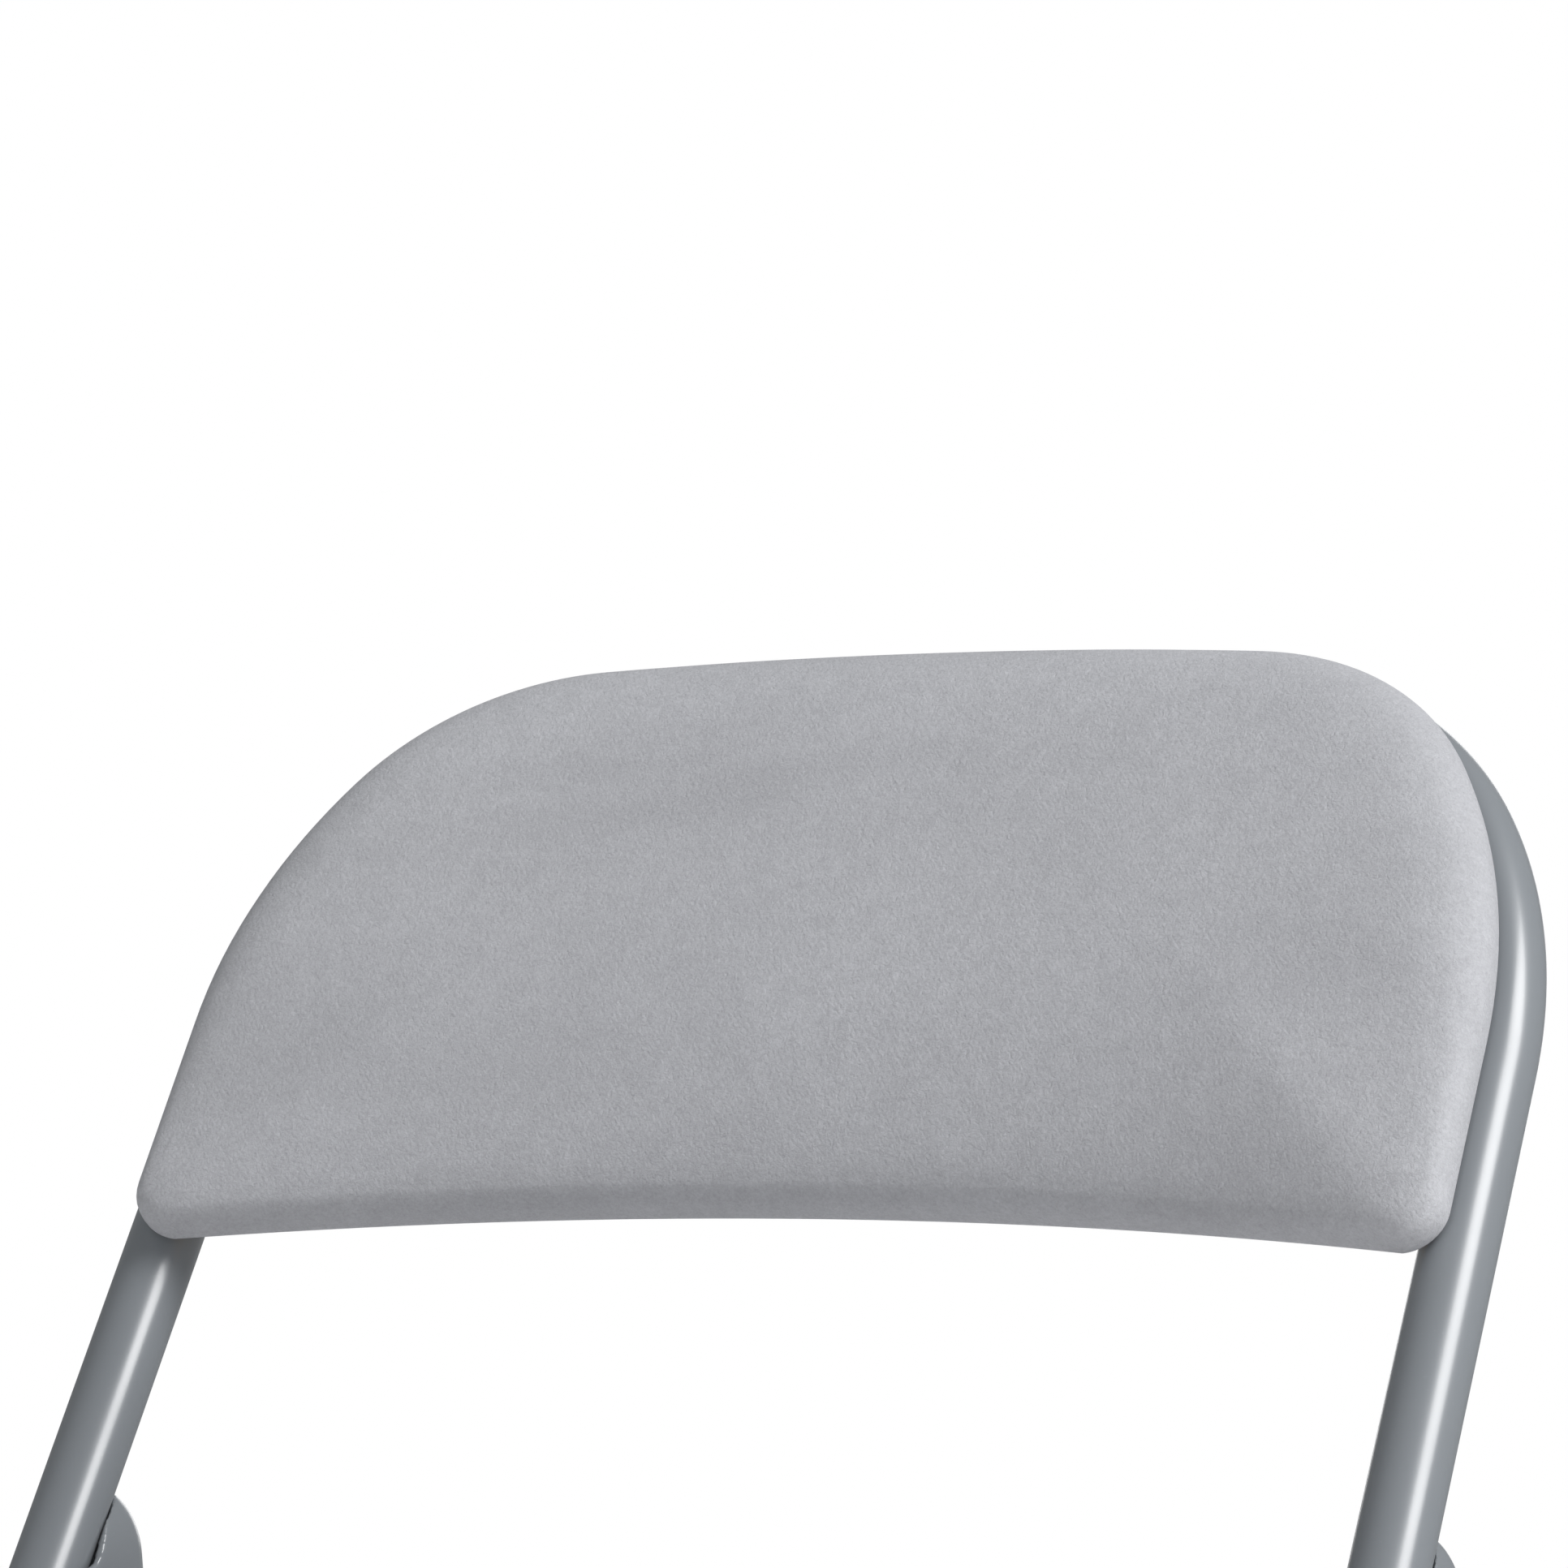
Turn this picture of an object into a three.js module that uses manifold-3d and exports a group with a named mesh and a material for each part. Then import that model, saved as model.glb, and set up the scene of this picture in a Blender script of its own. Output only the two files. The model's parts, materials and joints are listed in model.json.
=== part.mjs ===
// A padded folding chair: an inverted-U front frame that carries the backrest, a padded seat
// that swings on the frame, and two rear legs whose saddles straddle the frame's tubes.
// Millimetres, +Z up, the sitter faces -Y. The chair stands open, ready to sit on.

import * as THREE from 'three';
import ManifoldModule from 'manifold-3d';

const wasm = await ManifoldModule();
wasm.setup();
const { Manifold, Mesh: ManifoldMesh } = wasm;

// ---- driving dimensions ------------------------------------------------------------------

const DEG = Math.PI / 180;
const GAP = 0.3;                    // clearance between faces that meet

const TUBE_R = 11;                  // legs and frame: tube 22 mm across
const TUBE_WALL = 1.2;
const HALF_TRACK = 205.7;           // centre plane to the centreline of each leg
const RECLINE = 25 * DEG;           // front frame leans back from the vertical
const FRAME_END = 9;                // along the frame: where the bare tube starts, in its cap

const PAD_LOW = 655;                // along the frame: lower corners of the backrest
const BOW_START = PAD_LOW + 60;     // where the straight tube starts to bend
const BOW_SIDE_R = 173;
const BOW_SIDE_ANGLE = 31 * DEG;
const BOW_TOP_R = 129;
const BACK_DEPTH = 18;              // how far the middle of the back curves to the rear

const LEG_PIVOT = 529;              // along the frame: rivets of the rear legs
const SEAT_PIVOT = 443;             // along the frame: rivets of the seat
const LEG_SPREAD = 43 * DEG;        // rear leg to front frame, chair open
const LEG_FOLDED = 3 * DEG;
const LEG_OFFSET = 33;              // leg centreline behind its pivot
const LEG_LEAN = LEG_SPREAD - RECLINE;

const SEAT_TILT = 3 * DEG;
const SEAT_TURN = 66 * DEG;         // how far the seat turns while the legs close
const SEAT_HALF_WIDTH = 185.5;
const SEAT_REAR = 135;              // behind the seat pivot
const SEAT_FRONT = -235;

const PIN_REACH = 94;               // guide pin, down the rear leg from its pivot
const RIVET_R = 3;
const RIVET_HOLE_R = 3.3;
const HEAD_R = 5.2;
const HEAD_T = 1.6;
const SIDES = 20;                   // facets round a tube

// ---- materials ---------------------------------------------------------------------------

const paint = new THREE.MeshStandardMaterial({ color: 0x7c8388, roughness: 0.35, metalness: 0.1 });
const velvet = new THREE.MeshStandardMaterial({ color: 0xa9a9ae, roughness: 0.95, metalness: 0 });
const plywood = new THREE.MeshStandardMaterial({ color: 0xb08d5f, roughness: 0.8, metalness: 0 });
const lining = new THREE.MeshStandardMaterial({ color: 0x2b2b2d, roughness: 0.95, metalness: 0 });
const rubber = new THREE.MeshStandardMaterial({ color: 0x54595d, roughness: 0.7, metalness: 0 });
const steel = new THREE.MeshStandardMaterial({ color: 0xb9bcbf, roughness: 0.3, metalness: 0.9 });

// ---- solids ------------------------------------------------------------------------------

/** A closed Manifold from any closed three.js geometry. */
function solid(geometry) {
  const source = geometry.index ? geometry.toNonIndexed() : geometry;
  const position = source.getAttribute('position');
  const found = new Map();
  const vertices = [];
  const corners = [];
  for (let i = 0; i < position.count; i += 1) {
    const point = [position.getX(i), position.getY(i), position.getZ(i)];
    const key = point.map((value) => Math.round(value * 1e4)).join(',');
    if (!found.has(key)) {
      found.set(key, vertices.length / 3);
      vertices.push(...point);
    }
    corners.push(found.get(key));
  }
  const triangles = [];
  for (let i = 0; i < corners.length; i += 3) {
    const [a, b, c] = corners.slice(i, i + 3);
    if (a !== b && b !== c && c !== a) triangles.push(a, b, c);
  }
  return new Manifold(new ManifoldMesh({
    numProp: 3,
    vertProperties: new Float32Array(vertices),
    triVerts: new Uint32Array(triangles),
  }));
}

/** The three.js geometry of a Manifold, with flat facets. */
function facets(manifold) {
  const { numProp, vertProperties, triVerts } = manifold.getMesh();
  const points = [];
  for (const index of triVerts) {
    const at = index * numProp;
    points.push(vertProperties[at], vertProperties[at + 1], vertProperties[at + 2]);
  }
  const geometry = new THREE.BufferGeometry();
  geometry.setAttribute('position', new THREE.Float32BufferAttribute(points, 3));
  geometry.computeVertexNormals();
  return geometry;
}

function cut(body, ...tools) {
  return tools.reduce((left, tool) => left.subtract(tool), body);
}

/** A cylinder along Z from z0 to z1. */
function rod(radius, z0, z1, x = 0, y = 0, sides = SIDES) {
  const geometry = new THREE.CylinderGeometry(radius, radius, z1 - z0, sides);
  geometry.rotateX(Math.PI / 2);
  geometry.translate(x, y, (z0 + z1) / 2);
  return solid(geometry);
}

/** A cylinder along X from x0 to x1. */
function crossRod(radius, x0, x1, y = 0, z = 0, sides = SIDES) {
  const geometry = new THREE.CylinderGeometry(radius, radius, x1 - x0, sides);
  geometry.rotateZ(Math.PI / 2);
  geometry.translate((x0 + x1) / 2, y, z);
  return solid(geometry);
}

function block([x0, x1], [y0, y1], [z0, z1]) {
  const geometry = new THREE.BoxGeometry(x1 - x0, y1 - y0, z1 - z0);
  geometry.translate((x0 + x1) / 2, (y0 + y1) / 2, (z0 + z1) / 2);
  return solid(geometry);
}

/** A turned piece: [radius, place] pairs along X, closed on the axis at both ends. */
function turned(profile, sides = 16) {
  const points = profile.map(([radius, place]) => new THREE.Vector2(radius, place));
  const geometry = new THREE.LatheGeometry(points, sides);
  geometry.rotateZ(-Math.PI / 2);
  return geometry;
}

/** A flat outline of (y, z) points extruded along X from x0 to x1. */
function sidePlate(outline, x0, x1, holes = []) {
  const shape = new THREE.Shape(outline.map(([y, z]) => new THREE.Vector2(y, z)));
  shape.holes = holes.map((hole) => new THREE.Path(hole.map(([y, z]) => new THREE.Vector2(y, z))));
  const geometry = new THREE.ExtrudeGeometry(shape, { depth: x1 - x0, bevelEnabled: false });
  geometry.rotateX(Math.PI / 2);
  geometry.rotateZ(Math.PI / 2);
  geometry.translate(x0, 0, 0);
  return solid(geometry);
}

/** A closed skin through rings of points; each end closes on the middle point of its ring. */
function loft(rings) {
  const count = rings[0].length;
  const points = rings.flat();
  const middle = (ring) => ring
    .reduce((sum, point) => sum.add(point), new THREE.Vector3())
    .divideScalar(count);
  const first = points.length;
  points.push(middle(rings[0]), middle(rings.at(-1)));
  const index = [];
  for (let r = 0; r < rings.length - 1; r += 1) {
    for (let i = 0; i < count; i += 1) {
      const a = r * count + i;
      const b = r * count + (i + 1) % count;
      index.push(a, b, a + count, b, b + count, a + count);
    }
  }
  const last = (rings.length - 1) * count;
  for (let i = 0; i < count; i += 1) {
    const next = (i + 1) % count;
    index.push(first, next, i);
    index.push(first + 1, last + i, last + next);
  }
  const geometry = new THREE.BufferGeometry().setFromPoints(points);
  geometry.setIndex(index);
  return geometry;
}

/** A bent rod: rings of the given radius round each station of a path in the frame's plane. */
function bentRod(stations, radius) {
  const across = new THREE.Vector3(0, 1, 0);
  const rings = stations.map((station, k) => {
    const before = stations[Math.max(k - 1, 0)];
    const after = stations[Math.min(k + 1, stations.length - 1)];
    const along = after.clone().sub(before).normalize();
    const normal = across.clone().addScaledVector(along, -across.dot(along)).normalize();
    const side = along.clone().cross(normal);
    return Array.from({ length: SIDES }, (_, i) => {
      const turn = 2 * Math.PI * i / SIDES;
      return station.clone()
        .addScaledVector(normal, radius * Math.cos(turn))
        .addScaledVector(side, radius * Math.sin(turn));
    });
  });
  return solid(loft(rings));
}

/** Points on an arc, from one angle to another, both ends included. */
function arc(centre, radius, from, to, steps) {
  return Array.from({ length: steps + 1 }, (_, i) => {
    const angle = from + (to - from) * i / steps;
    return [centre[0] + radius * Math.cos(angle), centre[1] + radius * Math.sin(angle)];
  });
}

/** The right half of an outline, mirrored to close it; drops points that fall on the middle. */
function mirrored(half) {
  const left = half.filter(([x]) => x > 1e-6).reverse().map(([x, y]) => [-x, y]);
  return [...half, ...left];
}

/** A padded or flat sheet: the outline shrunk by each layer's inset, at each layer's height. */
function layered(outline, layers, place) {
  const xs = outline.map(([x]) => x);
  const ys = outline.map(([, y]) => y);
  const centre = (Math.max(...ys) + Math.min(...ys)) / 2;
  const halfWidth = (Math.max(...xs) - Math.min(...xs)) / 2;
  const halfLength = (Math.max(...ys) - Math.min(...ys)) / 2;
  return loft(layers.map(([inset, height]) => outline.map(([x, y]) => place(
    x * (1 - inset / halfWidth),
    centre + (y - centre) * (1 - inset / halfLength),
    height,
  ))));
}

// ---- scene graph -------------------------------------------------------------------------

const chair = new THREE.Group();

// X across, Y square to the frame towards the rear, Z up along the frame from the floor.
const frontFrame = new THREE.Group();
frontFrame.rotation.x = -RECLINE;

// The rear legs' own frame: origin at their pivot, Z up along the leg.
const rearLegs = new THREE.Group();
rearLegs.position.set(0, LEG_PIVOT * Math.sin(RECLINE), LEG_PIVOT * Math.cos(RECLINE));
rearLegs.rotation.x = LEG_LEAN;

// The seat's own frame: origin at its pivot, Y to the rear, Z up.
const seat = new THREE.Group();
seat.position.set(0, SEAT_PIVOT * Math.sin(RECLINE), SEAT_PIVOT * Math.cos(RECLINE));
seat.rotation.x = -SEAT_TILT;

chair.add(frontFrame, rearLegs, seat);

function add(group, name, shape, material) {
  const geometry = shape.isBufferGeometry ? shape : facets(shape);
  const mesh = new THREE.Mesh(geometry, material);
  mesh.name = name;
  group.add(mesh);
  return mesh;
}

const SIDE_NAMES = [['left', -1], ['right', 1]];

// ---- front frame -------------------------------------------------------------------------

/** How far the backrest and the bow curve to the rear, at a distance from the middle. */
function backCurve(x) {
  return BACK_DEPTH * (1 - (x / HALF_TRACK) ** 2);
}

/** The centreline of the inverted U, from one foot over the bow to the other. */
function framePath() {
  const sideCentre = [HALF_TRACK - BOW_SIDE_R, BOW_START];
  const step = BOW_SIDE_R - BOW_TOP_R;
  const topCentre = [
    sideCentre[0] + step * Math.cos(BOW_SIDE_ANGLE),
    sideCentre[1] + step * Math.sin(BOW_SIDE_ANGLE),
  ];
  const half = [
    ...arc(topCentre, BOW_TOP_R, Math.PI / 2, BOW_SIDE_ANGLE, 6),
    ...arc(sideCentre, BOW_SIDE_R, BOW_SIDE_ANGLE, 0, 4).slice(1),
    [HALF_TRACK, FRAME_END],
  ];
  const other = half.map(([x, z]) => [-x, z]).reverse();
  const crown = [0, half[0][1]];
  return [...other, crown, ...half].map(([x, z]) => new THREE.Vector3(
    x,
    Math.abs(x) < HALF_TRACK ? backCurve(x) : 0,
    z,
  ));
}

function frontTube() {
  const path = framePath();
  const bore = path.map((point) => point.clone());
  bore[0].z -= 5;
  bore.at(-1).z -= 5;
  const holes = [LEG_PIVOT, SEAT_PIVOT].map((z) => crossRod(RIVET_HOLE_R, -300, 300, 0, z, 12));
  return cut(bentRod(path, TUBE_R), bentRod(bore, TUBE_R - TUBE_WALL), ...holes);
}

add(frontFrame, 'front_frame', frontTube(), paint);

const STRETCHER_R = 8;
const STRETCHER_HALF = HALF_TRACK - TUBE_R - GAP;
const FRONT_STRETCHER = 140;

/** A cross tube with open bore, butted between a pair of legs. */
function stretcher(y, z) {
  const outside = crossRod(STRETCHER_R, -STRETCHER_HALF, STRETCHER_HALF, y, z);
  return cut(outside, crossRod(STRETCHER_R - TUBE_WALL, -300, 300, y, z));
}

add(frontFrame, 'front_stretcher', stretcher(0, FRONT_STRETCHER), paint);

// ---- backrest ----------------------------------------------------------------------------

const BACK_FACE = -TUBE_R - 2 * GAP;      // rear face of the backrest, in front of the tube
const PANEL_T = 8;
const PANEL_INSET = 4;
const PAD_HALF_WIDTH = 207;
const PAD_ARCH = 20;                      // rise of the lower edge at the middle
const PAD_CORNER_R = 12;
const PAD_SIDE_R = 198;
const PAD_SIDE_ANGLE = 29 * DEG;
const PAD_SHOULDER_R = 98;
const PAD_SHOULDER_ANGLE = 82 * DEG;
const PAD_DEPTH = 26;

/** The backrest seen square on: arched below, straight sides, big shoulders, slight crown. */
function backOutline() {
  const low = PAD_LOW - 9;
  const archEnd = PAD_HALF_WIDTH - PAD_CORNER_R;
  const arch = Array.from({ length: 7 }, (_, i) => {
    const x = archEnd * i / 7;
    return [x, low + PAD_ARCH * (1 - (x / archEnd) ** 2)];
  });
  const sideStart = [PAD_HALF_WIDTH - PAD_SIDE_R, BOW_START];
  const step = PAD_SIDE_R - PAD_SHOULDER_R;
  const shoulder = [
    sideStart[0] + step * Math.cos(PAD_SIDE_ANGLE),
    sideStart[1] + step * Math.sin(PAD_SIDE_ANGLE),
  ];
  const shoulders = arc(shoulder, PAD_SHOULDER_R, PAD_SIDE_ANGLE, PAD_SHOULDER_ANGLE, 6);
  const [crownX, crownZ] = shoulders.at(-1);
  const crownR = crownX / Math.cos(PAD_SHOULDER_ANGLE);
  const crownCentre = [0, crownZ - crownR * Math.sin(PAD_SHOULDER_ANGLE)];
  return mirrored([
    ...arch,
    ...arc([archEnd, low + PAD_CORNER_R], PAD_CORNER_R, -Math.PI / 2, 0, 4),
    ...arc(sideStart, PAD_SIDE_R, 0, PAD_SIDE_ANGLE, 4),
    ...shoulders.slice(1),
    ...arc(crownCentre, crownR, PAD_SHOULDER_ANGLE, Math.PI / 2, 3).slice(1),
  ]);
}

/** Puts a point of the backrest on the curved back: height counts forward from its rear face. */
function onBack(x, z, height) {
  return new THREE.Vector3(x, BACK_FACE + backCurve(x) - height, z);
}

const FILL = [25, 50, 75];                // inner rings of a curved face, as insets

/** Layers of a sheet whose two faces follow the curved back. */
function curvedSheet(inset, low, high) {
  const inner = [...FILL].reverse().map((extra) => [inset + extra, low]);
  const outer = FILL.map((extra) => [inset + extra, high]);
  return [...inner, [inset, low], [inset, high], ...outer];
}

const cushionEdge = [
  [2.5, 0], [0.6, 1], [0, 4], [0.3, 9], [2, 14], [6, 18.5], [13, 22], [24, 24.5],
];

function backCushion() {
  const layers = [
    ...[...FILL].reverse().map((extra) => [extra, 0]),
    ...cushionEdge,
    [45, PAD_DEPTH - 0.4],
    [70, PAD_DEPTH],
  ];
  const pocket = curvedSheet(PANEL_INSET - GAP, -1, PANEL_T + GAP);
  const outline = backOutline();
  return cut(solid(layered(outline, layers, onBack)), solid(layered(outline, pocket, onBack)));
}

const TAB_T = 2.2;
const SCREW_R = 2.4;
const SCREW_HOLE_R = 2.7;
// Each welded tab: screw place, and the tab's extent either side of the screw.
const TABS = [
  { name: 'lower_left', x: -183, z: PAD_LOW + 40, width: [-14, 11], height: [-12, 12] },
  { name: 'lower_right', x: 183, z: PAD_LOW + 40, width: [-11, 14], height: [-12, 12] },
  { name: 'upper_left', x: -62, z: PAD_LOW + 189, width: [-12, 12], height: [-11, 15.5] },
  { name: 'upper_right', x: 62, z: PAD_LOW + 189, width: [-12, 12], height: [-11, 15.5] },
];

/** Sets a group square to the curved back, Y to the rear, origin on the backrest's rear face. */
function onBackGroup({ x, z }) {
  const group = new THREE.Group();
  group.position.set(x, BACK_FACE + backCurve(x), z);
  group.rotation.z = Math.atan2(-2 * BACK_DEPTH * x, HALF_TRACK ** 2);
  frontFrame.add(group);
  return group;
}

/** A cylinder along Y, from y0 to y1. */
function backRod(radius, y0, y1, sides = 12) {
  const geometry = new THREE.CylinderGeometry(radius, radius, y1 - y0, sides);
  geometry.translate(0, (y0 + y1) / 2, 0);
  return geometry;
}

function backPanel() {
  const sheet = solid(layered(backOutline(), curvedSheet(PANEL_INSET, 0, PANEL_T), onBack));
  const holes = TABS.map((tab) => {
    const place = onBackGroup(tab);
    place.updateMatrix();
    const geometry = backRod(SCREW_HOLE_R, -PANEL_T - 4, 4).applyMatrix4(place.matrix);
    frontFrame.remove(place);
    return solid(geometry);
  });
  return cut(sheet, ...holes);
}

add(frontFrame, 'backrest_panel', backPanel(), plywood);
add(frontFrame, 'backrest_cushion', backCushion(), velvet);

for (const tab of TABS) {
  const group = onBackGroup(tab);
  const plate = block(tab.width, [GAP, GAP + TAB_T], tab.height);
  const hole = solid(backRod(SCREW_HOLE_R, -1, 5));
  add(group, `backrest_tab_${tab.name}`, cut(plate, hole), paint);
  const behind = 2 * GAP + TAB_T;
  const screw = new THREE.LatheGeometry([
    new THREE.Vector2(0, 1 - PANEL_T),
    new THREE.Vector2(SCREW_R, 2 - PANEL_T),
    new THREE.Vector2(SCREW_R, behind),
    new THREE.Vector2(4.5, behind),
    new THREE.Vector2(3.8, behind + 2),
    new THREE.Vector2(0, behind + 2.4),
  ], 12);
  add(group, `backrest_screw_${tab.name}`, screw, steel);
}

// ---- seat --------------------------------------------------------------------------------

const BOARD_LOW = 16;                     // underside of the seat board above the pivot
const BOARD_T = 9;
const BOARD_INSET = 4.5;
const SEAT_FRONT_R = 62;
const SEAT_REAR_R = 45;
const BRACKET_IN = SEAT_HALF_WIDTH + 1.3;
const BRACKET_T = 2.2;
const BRACKET_OUT = BRACKET_IN + BRACKET_T;
const FLANGE_HIGH = BOARD_LOW - GAP;
const FLANGE_IN = 164;
const BRACKET_FRONT = -62;
const BRACKET_REAR = 112;
const SEAT_SCREW_X = 175;
const SEAT_SCREWS = [['front', -46], ['middle', 22], ['rear', 90]];

/** The seat seen from above: straight sides, rounder corners at the front. */
function seatOutline() {
  const half = SEAT_HALF_WIDTH;
  const frontX = half - SEAT_FRONT_R;
  const rearX = half - SEAT_REAR_R;
  return mirrored([
    [0, SEAT_FRONT],
    ...arc([frontX, SEAT_FRONT + SEAT_FRONT_R], SEAT_FRONT_R, -Math.PI / 2, 0, 7),
    ...arc([rearX, SEAT_REAR - SEAT_REAR_R], SEAT_REAR_R, 0, Math.PI / 2, 6),
    [0, SEAT_REAR],
  ]);
}

function onSeat(x, y, height) {
  return new THREE.Vector3(x, y, BOARD_LOW + height);
}

function boardHoles() {
  return SEAT_SCREWS.flatMap(([, y]) => [-1, 1].map(
    (side) => rod(SCREW_HOLE_R, 0, BOARD_LOW + BOARD_T + 4, side * SEAT_SCREW_X, y, 12),
  ));
}

function seatBoard() {
  const sheet = layered(seatOutline(), [[BOARD_INSET, 0], [BOARD_INSET, BOARD_T]], onSeat);
  return cut(solid(sheet), ...boardHoles());
}

function seatCushion() {
  const layers = [
    [3, 0], [0.8, 1], [0, 5], [0, 13], [1.5, 21], [5.5, 27.5], [13, 32.5], [26, 36],
    [50, 38.2], [90, 39.2],
  ];
  const pocket = [[BOARD_INSET - GAP, -2], [BOARD_INSET - GAP, BOARD_T + GAP]];
  const outline = seatOutline();
  return cut(solid(layered(outline, layers, onSeat)), solid(layered(outline, pocket, onSeat)));
}

/** Where the guide pin is, seen from the seat, when the fold is the given share done. */
function pinOnSeat(share) {
  const leg = LEG_SPREAD + (LEG_FOLDED - LEG_SPREAD) * share;
  const turn = Math.PI / 2 - RECLINE + SEAT_TILT - SEAT_TURN * share;
  const up = LEG_PIVOT - SEAT_PIVOT - PIN_REACH * Math.cos(leg) + LEG_OFFSET * Math.sin(leg);
  const back = PIN_REACH * Math.sin(leg) + LEG_OFFSET * Math.cos(leg);
  return [
    up * Math.cos(turn) + back * Math.sin(turn),
    up * Math.sin(turn) - back * Math.cos(turn),
  ];
}

const SLOT_HALF = RIVET_R + 0.5;

/** A line beside the guide pin's path, at a distance: side 1 is below and behind it. */
function besidePath(distance, side, steps) {
  const path = Array.from({ length: steps + 1 }, (_, i) => pinOnSeat(i / steps));
  return path.map(([y, z], i) => {
    const before = path[Math.max(i - 1, 0)];
    const after = path[Math.min(i + 1, steps)];
    const square = Math.atan2(after[1] - before[1], after[0] - before[0]) + side * Math.PI / 2;
    return [y + distance * Math.cos(square), z + distance * Math.sin(square)];
  });
}

/** The band of the given half width along the guide pin's path, as a closed outline. */
function pinBand(half, steps) {
  const above = besidePath(half, -1, steps);
  const below = besidePath(half, 1, steps).reverse();
  const round = (share, from) => {
    const centre = pinOnSeat(share);
    const start = Math.atan2(from[1] - centre[1], from[0] - centre[0]);
    return arc(centre, half, start, start + Math.PI, 6).slice(1, -1);
  };
  return [...above, ...round(1, above.at(-1)), ...below, ...round(0, below.at(-1))];
}

const SLOT_MARGIN = 11;                   // metal left outside the pin's path

/** The bracket's cheek hangs below the seat: a guide slot, a pivot hole, a rounded lower edge. */
function seatBracket(side) {
  const [x0, x1] = side > 0 ? [BRACKET_IN, BRACKET_OUT] : [-BRACKET_OUT, -BRACKET_IN];
  const cheek = [
    [BRACKET_FRONT, FLANGE_HIGH],
    [BRACKET_FRONT, FLANGE_HIGH - 10],
    [-24, -2],
    [-18, -20],
    ...besidePath(SLOT_MARGIN, 1, 8).reverse(),
    [BRACKET_REAR, FLANGE_HIGH - 10],
    [BRACKET_REAR, FLANGE_HIGH],
  ];
  const pivot = arc([0, 0], RIVET_HOLE_R, 0, 2 * Math.PI, 12).slice(0, -1);
  const plate = sidePlate(cheek, x0, x1, [pivot.reverse(), pinBand(SLOT_HALF, 12).reverse()]);
  const flangeX = side > 0 ? [FLANGE_IN, BRACKET_OUT] : [-BRACKET_OUT, -FLANGE_IN];
  const flange = block(
    flangeX,
    [BRACKET_FRONT, BRACKET_REAR],
    [FLANGE_HIGH - BRACKET_T, FLANGE_HIGH],
  );
  const holes = SEAT_SCREWS.map(([, y]) => rod(SCREW_HOLE_R, 5, 20, side * SEAT_SCREW_X, y, 12));
  return cut(plate.add(flange), ...holes);
}

function seatScrew(x, y) {
  const under = FLANGE_HIGH - BRACKET_T - GAP;
  const points = [
    [0, under - 2.4], [3.8, under - 2], [4.5, under], [SCREW_R, under],
    [SCREW_R, BOARD_LOW + BOARD_T - 2], [0, BOARD_LOW + BOARD_T - 1],
  ];
  const geometry = new THREE.LatheGeometry(points.map(([r, z]) => new THREE.Vector2(r, z)), 12);
  geometry.rotateX(Math.PI / 2);
  geometry.translate(x, y, 0);
  return geometry;
}

add(seat, 'seat_board', seatBoard(), plywood);
add(seat, 'seat_cushion', seatCushion(), velvet);
add(
  seat,
  'seat_dust_cover',
  block([-155, 155], [SEAT_FRONT + 20, SEAT_REAR - 20], [FLANGE_HIGH - 1, FLANGE_HIGH]),
  lining,
);
for (const [sideName, side] of SIDE_NAMES) {
  add(seat, `seat_bracket_${sideName}`, seatBracket(side), paint);
  for (const [place, y] of SEAT_SCREWS) {
    add(seat, `seat_screw_${place}_${sideName}`, seatScrew(side * SEAT_SCREW_X, y), steel);
  }
}

// ---- rear legs ---------------------------------------------------------------------------

const FLANK = 13.9;                       // half width of a saddle over its cheeks
const SADDLE_DEPTH = 12.5;                // leg centreline to the saddle's back
const SHELL_T = 2.4;
const SADDLE_LOW = -62;                   // the open shell starts here, below the pivot
const FLARE_LOW = -84;
const DOME_START = 5;                     // above the pivot, where the saddle starts to close
const DOME_HIGH = 21;
const RIM_BEHIND = 4;                     // rim behind the frame tube's centre, chair open
const REAR_STRETCHER = -330;
const FLOOR_AT = -(rearLegs.position.z + LEG_OFFSET * Math.sin(LEG_LEAN)) / Math.cos(LEG_LEAN);
const LEG_END = FLOOR_AT + 8;

/** A point seen from the frame tube, chair open, in the leg's own (y, z). */
function besideTube(behind, along) {
  return [
    behind * Math.cos(LEG_SPREAD) + along * Math.sin(LEG_SPREAD),
    along * Math.cos(LEG_SPREAD) - behind * Math.sin(LEG_SPREAD),
  ];
}

/** The leg seen from its side: a rim along the frame tube, and an ear round the pivot. */
function legSide() {
  const back = LEG_OFFSET + 40;
  const front = LEG_OFFSET - TUBE_R;
  return [
    [back, LEG_END],
    [back, 60],
    besideTube(RIM_BEHIND, 70),
    besideTube(RIM_BEHIND, 18),
    besideTube(RIM_BEHIND - 0.6, 14),
    ...arc([0, 0], 7.5, 60 * DEG, 200 * DEG, 8),
    [-4.5, -8],
    [6, -18],
    [16, -30],
    [front - 1, -40],
    [front - 1, FLARE_LOW],
    [front - 1, LEG_END],
  ];
}

/** Section of the leg at a height: round tube, wider with a flat front at the saddle. */
function legRing(z, share, inset = 0, scale = 1) {
  const half = (TUBE_R + (FLANK - TUBE_R) * share - inset) * scale;
  const rear = (TUBE_R + (SADDLE_DEPTH - TUBE_R) * share - inset) * scale;
  const front = TUBE_R + 36 * share;
  return Array.from({ length: 32 }, (_, i) => {
    const turn = 2 * Math.PI * i / 32;
    const [c, s] = [Math.cos(turn), Math.sin(turn)];
    const squarer = s < 0 ? 1 - 0.7 * share : 1;
    const depth = s < 0 ? front : rear;
    return new THREE.Vector3(
      half * Math.sign(c) * Math.abs(c) ** squarer,
      LEG_OFFSET + depth * Math.sign(s) * Math.abs(s) ** squarer,
      z,
    );
  });
}

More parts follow.
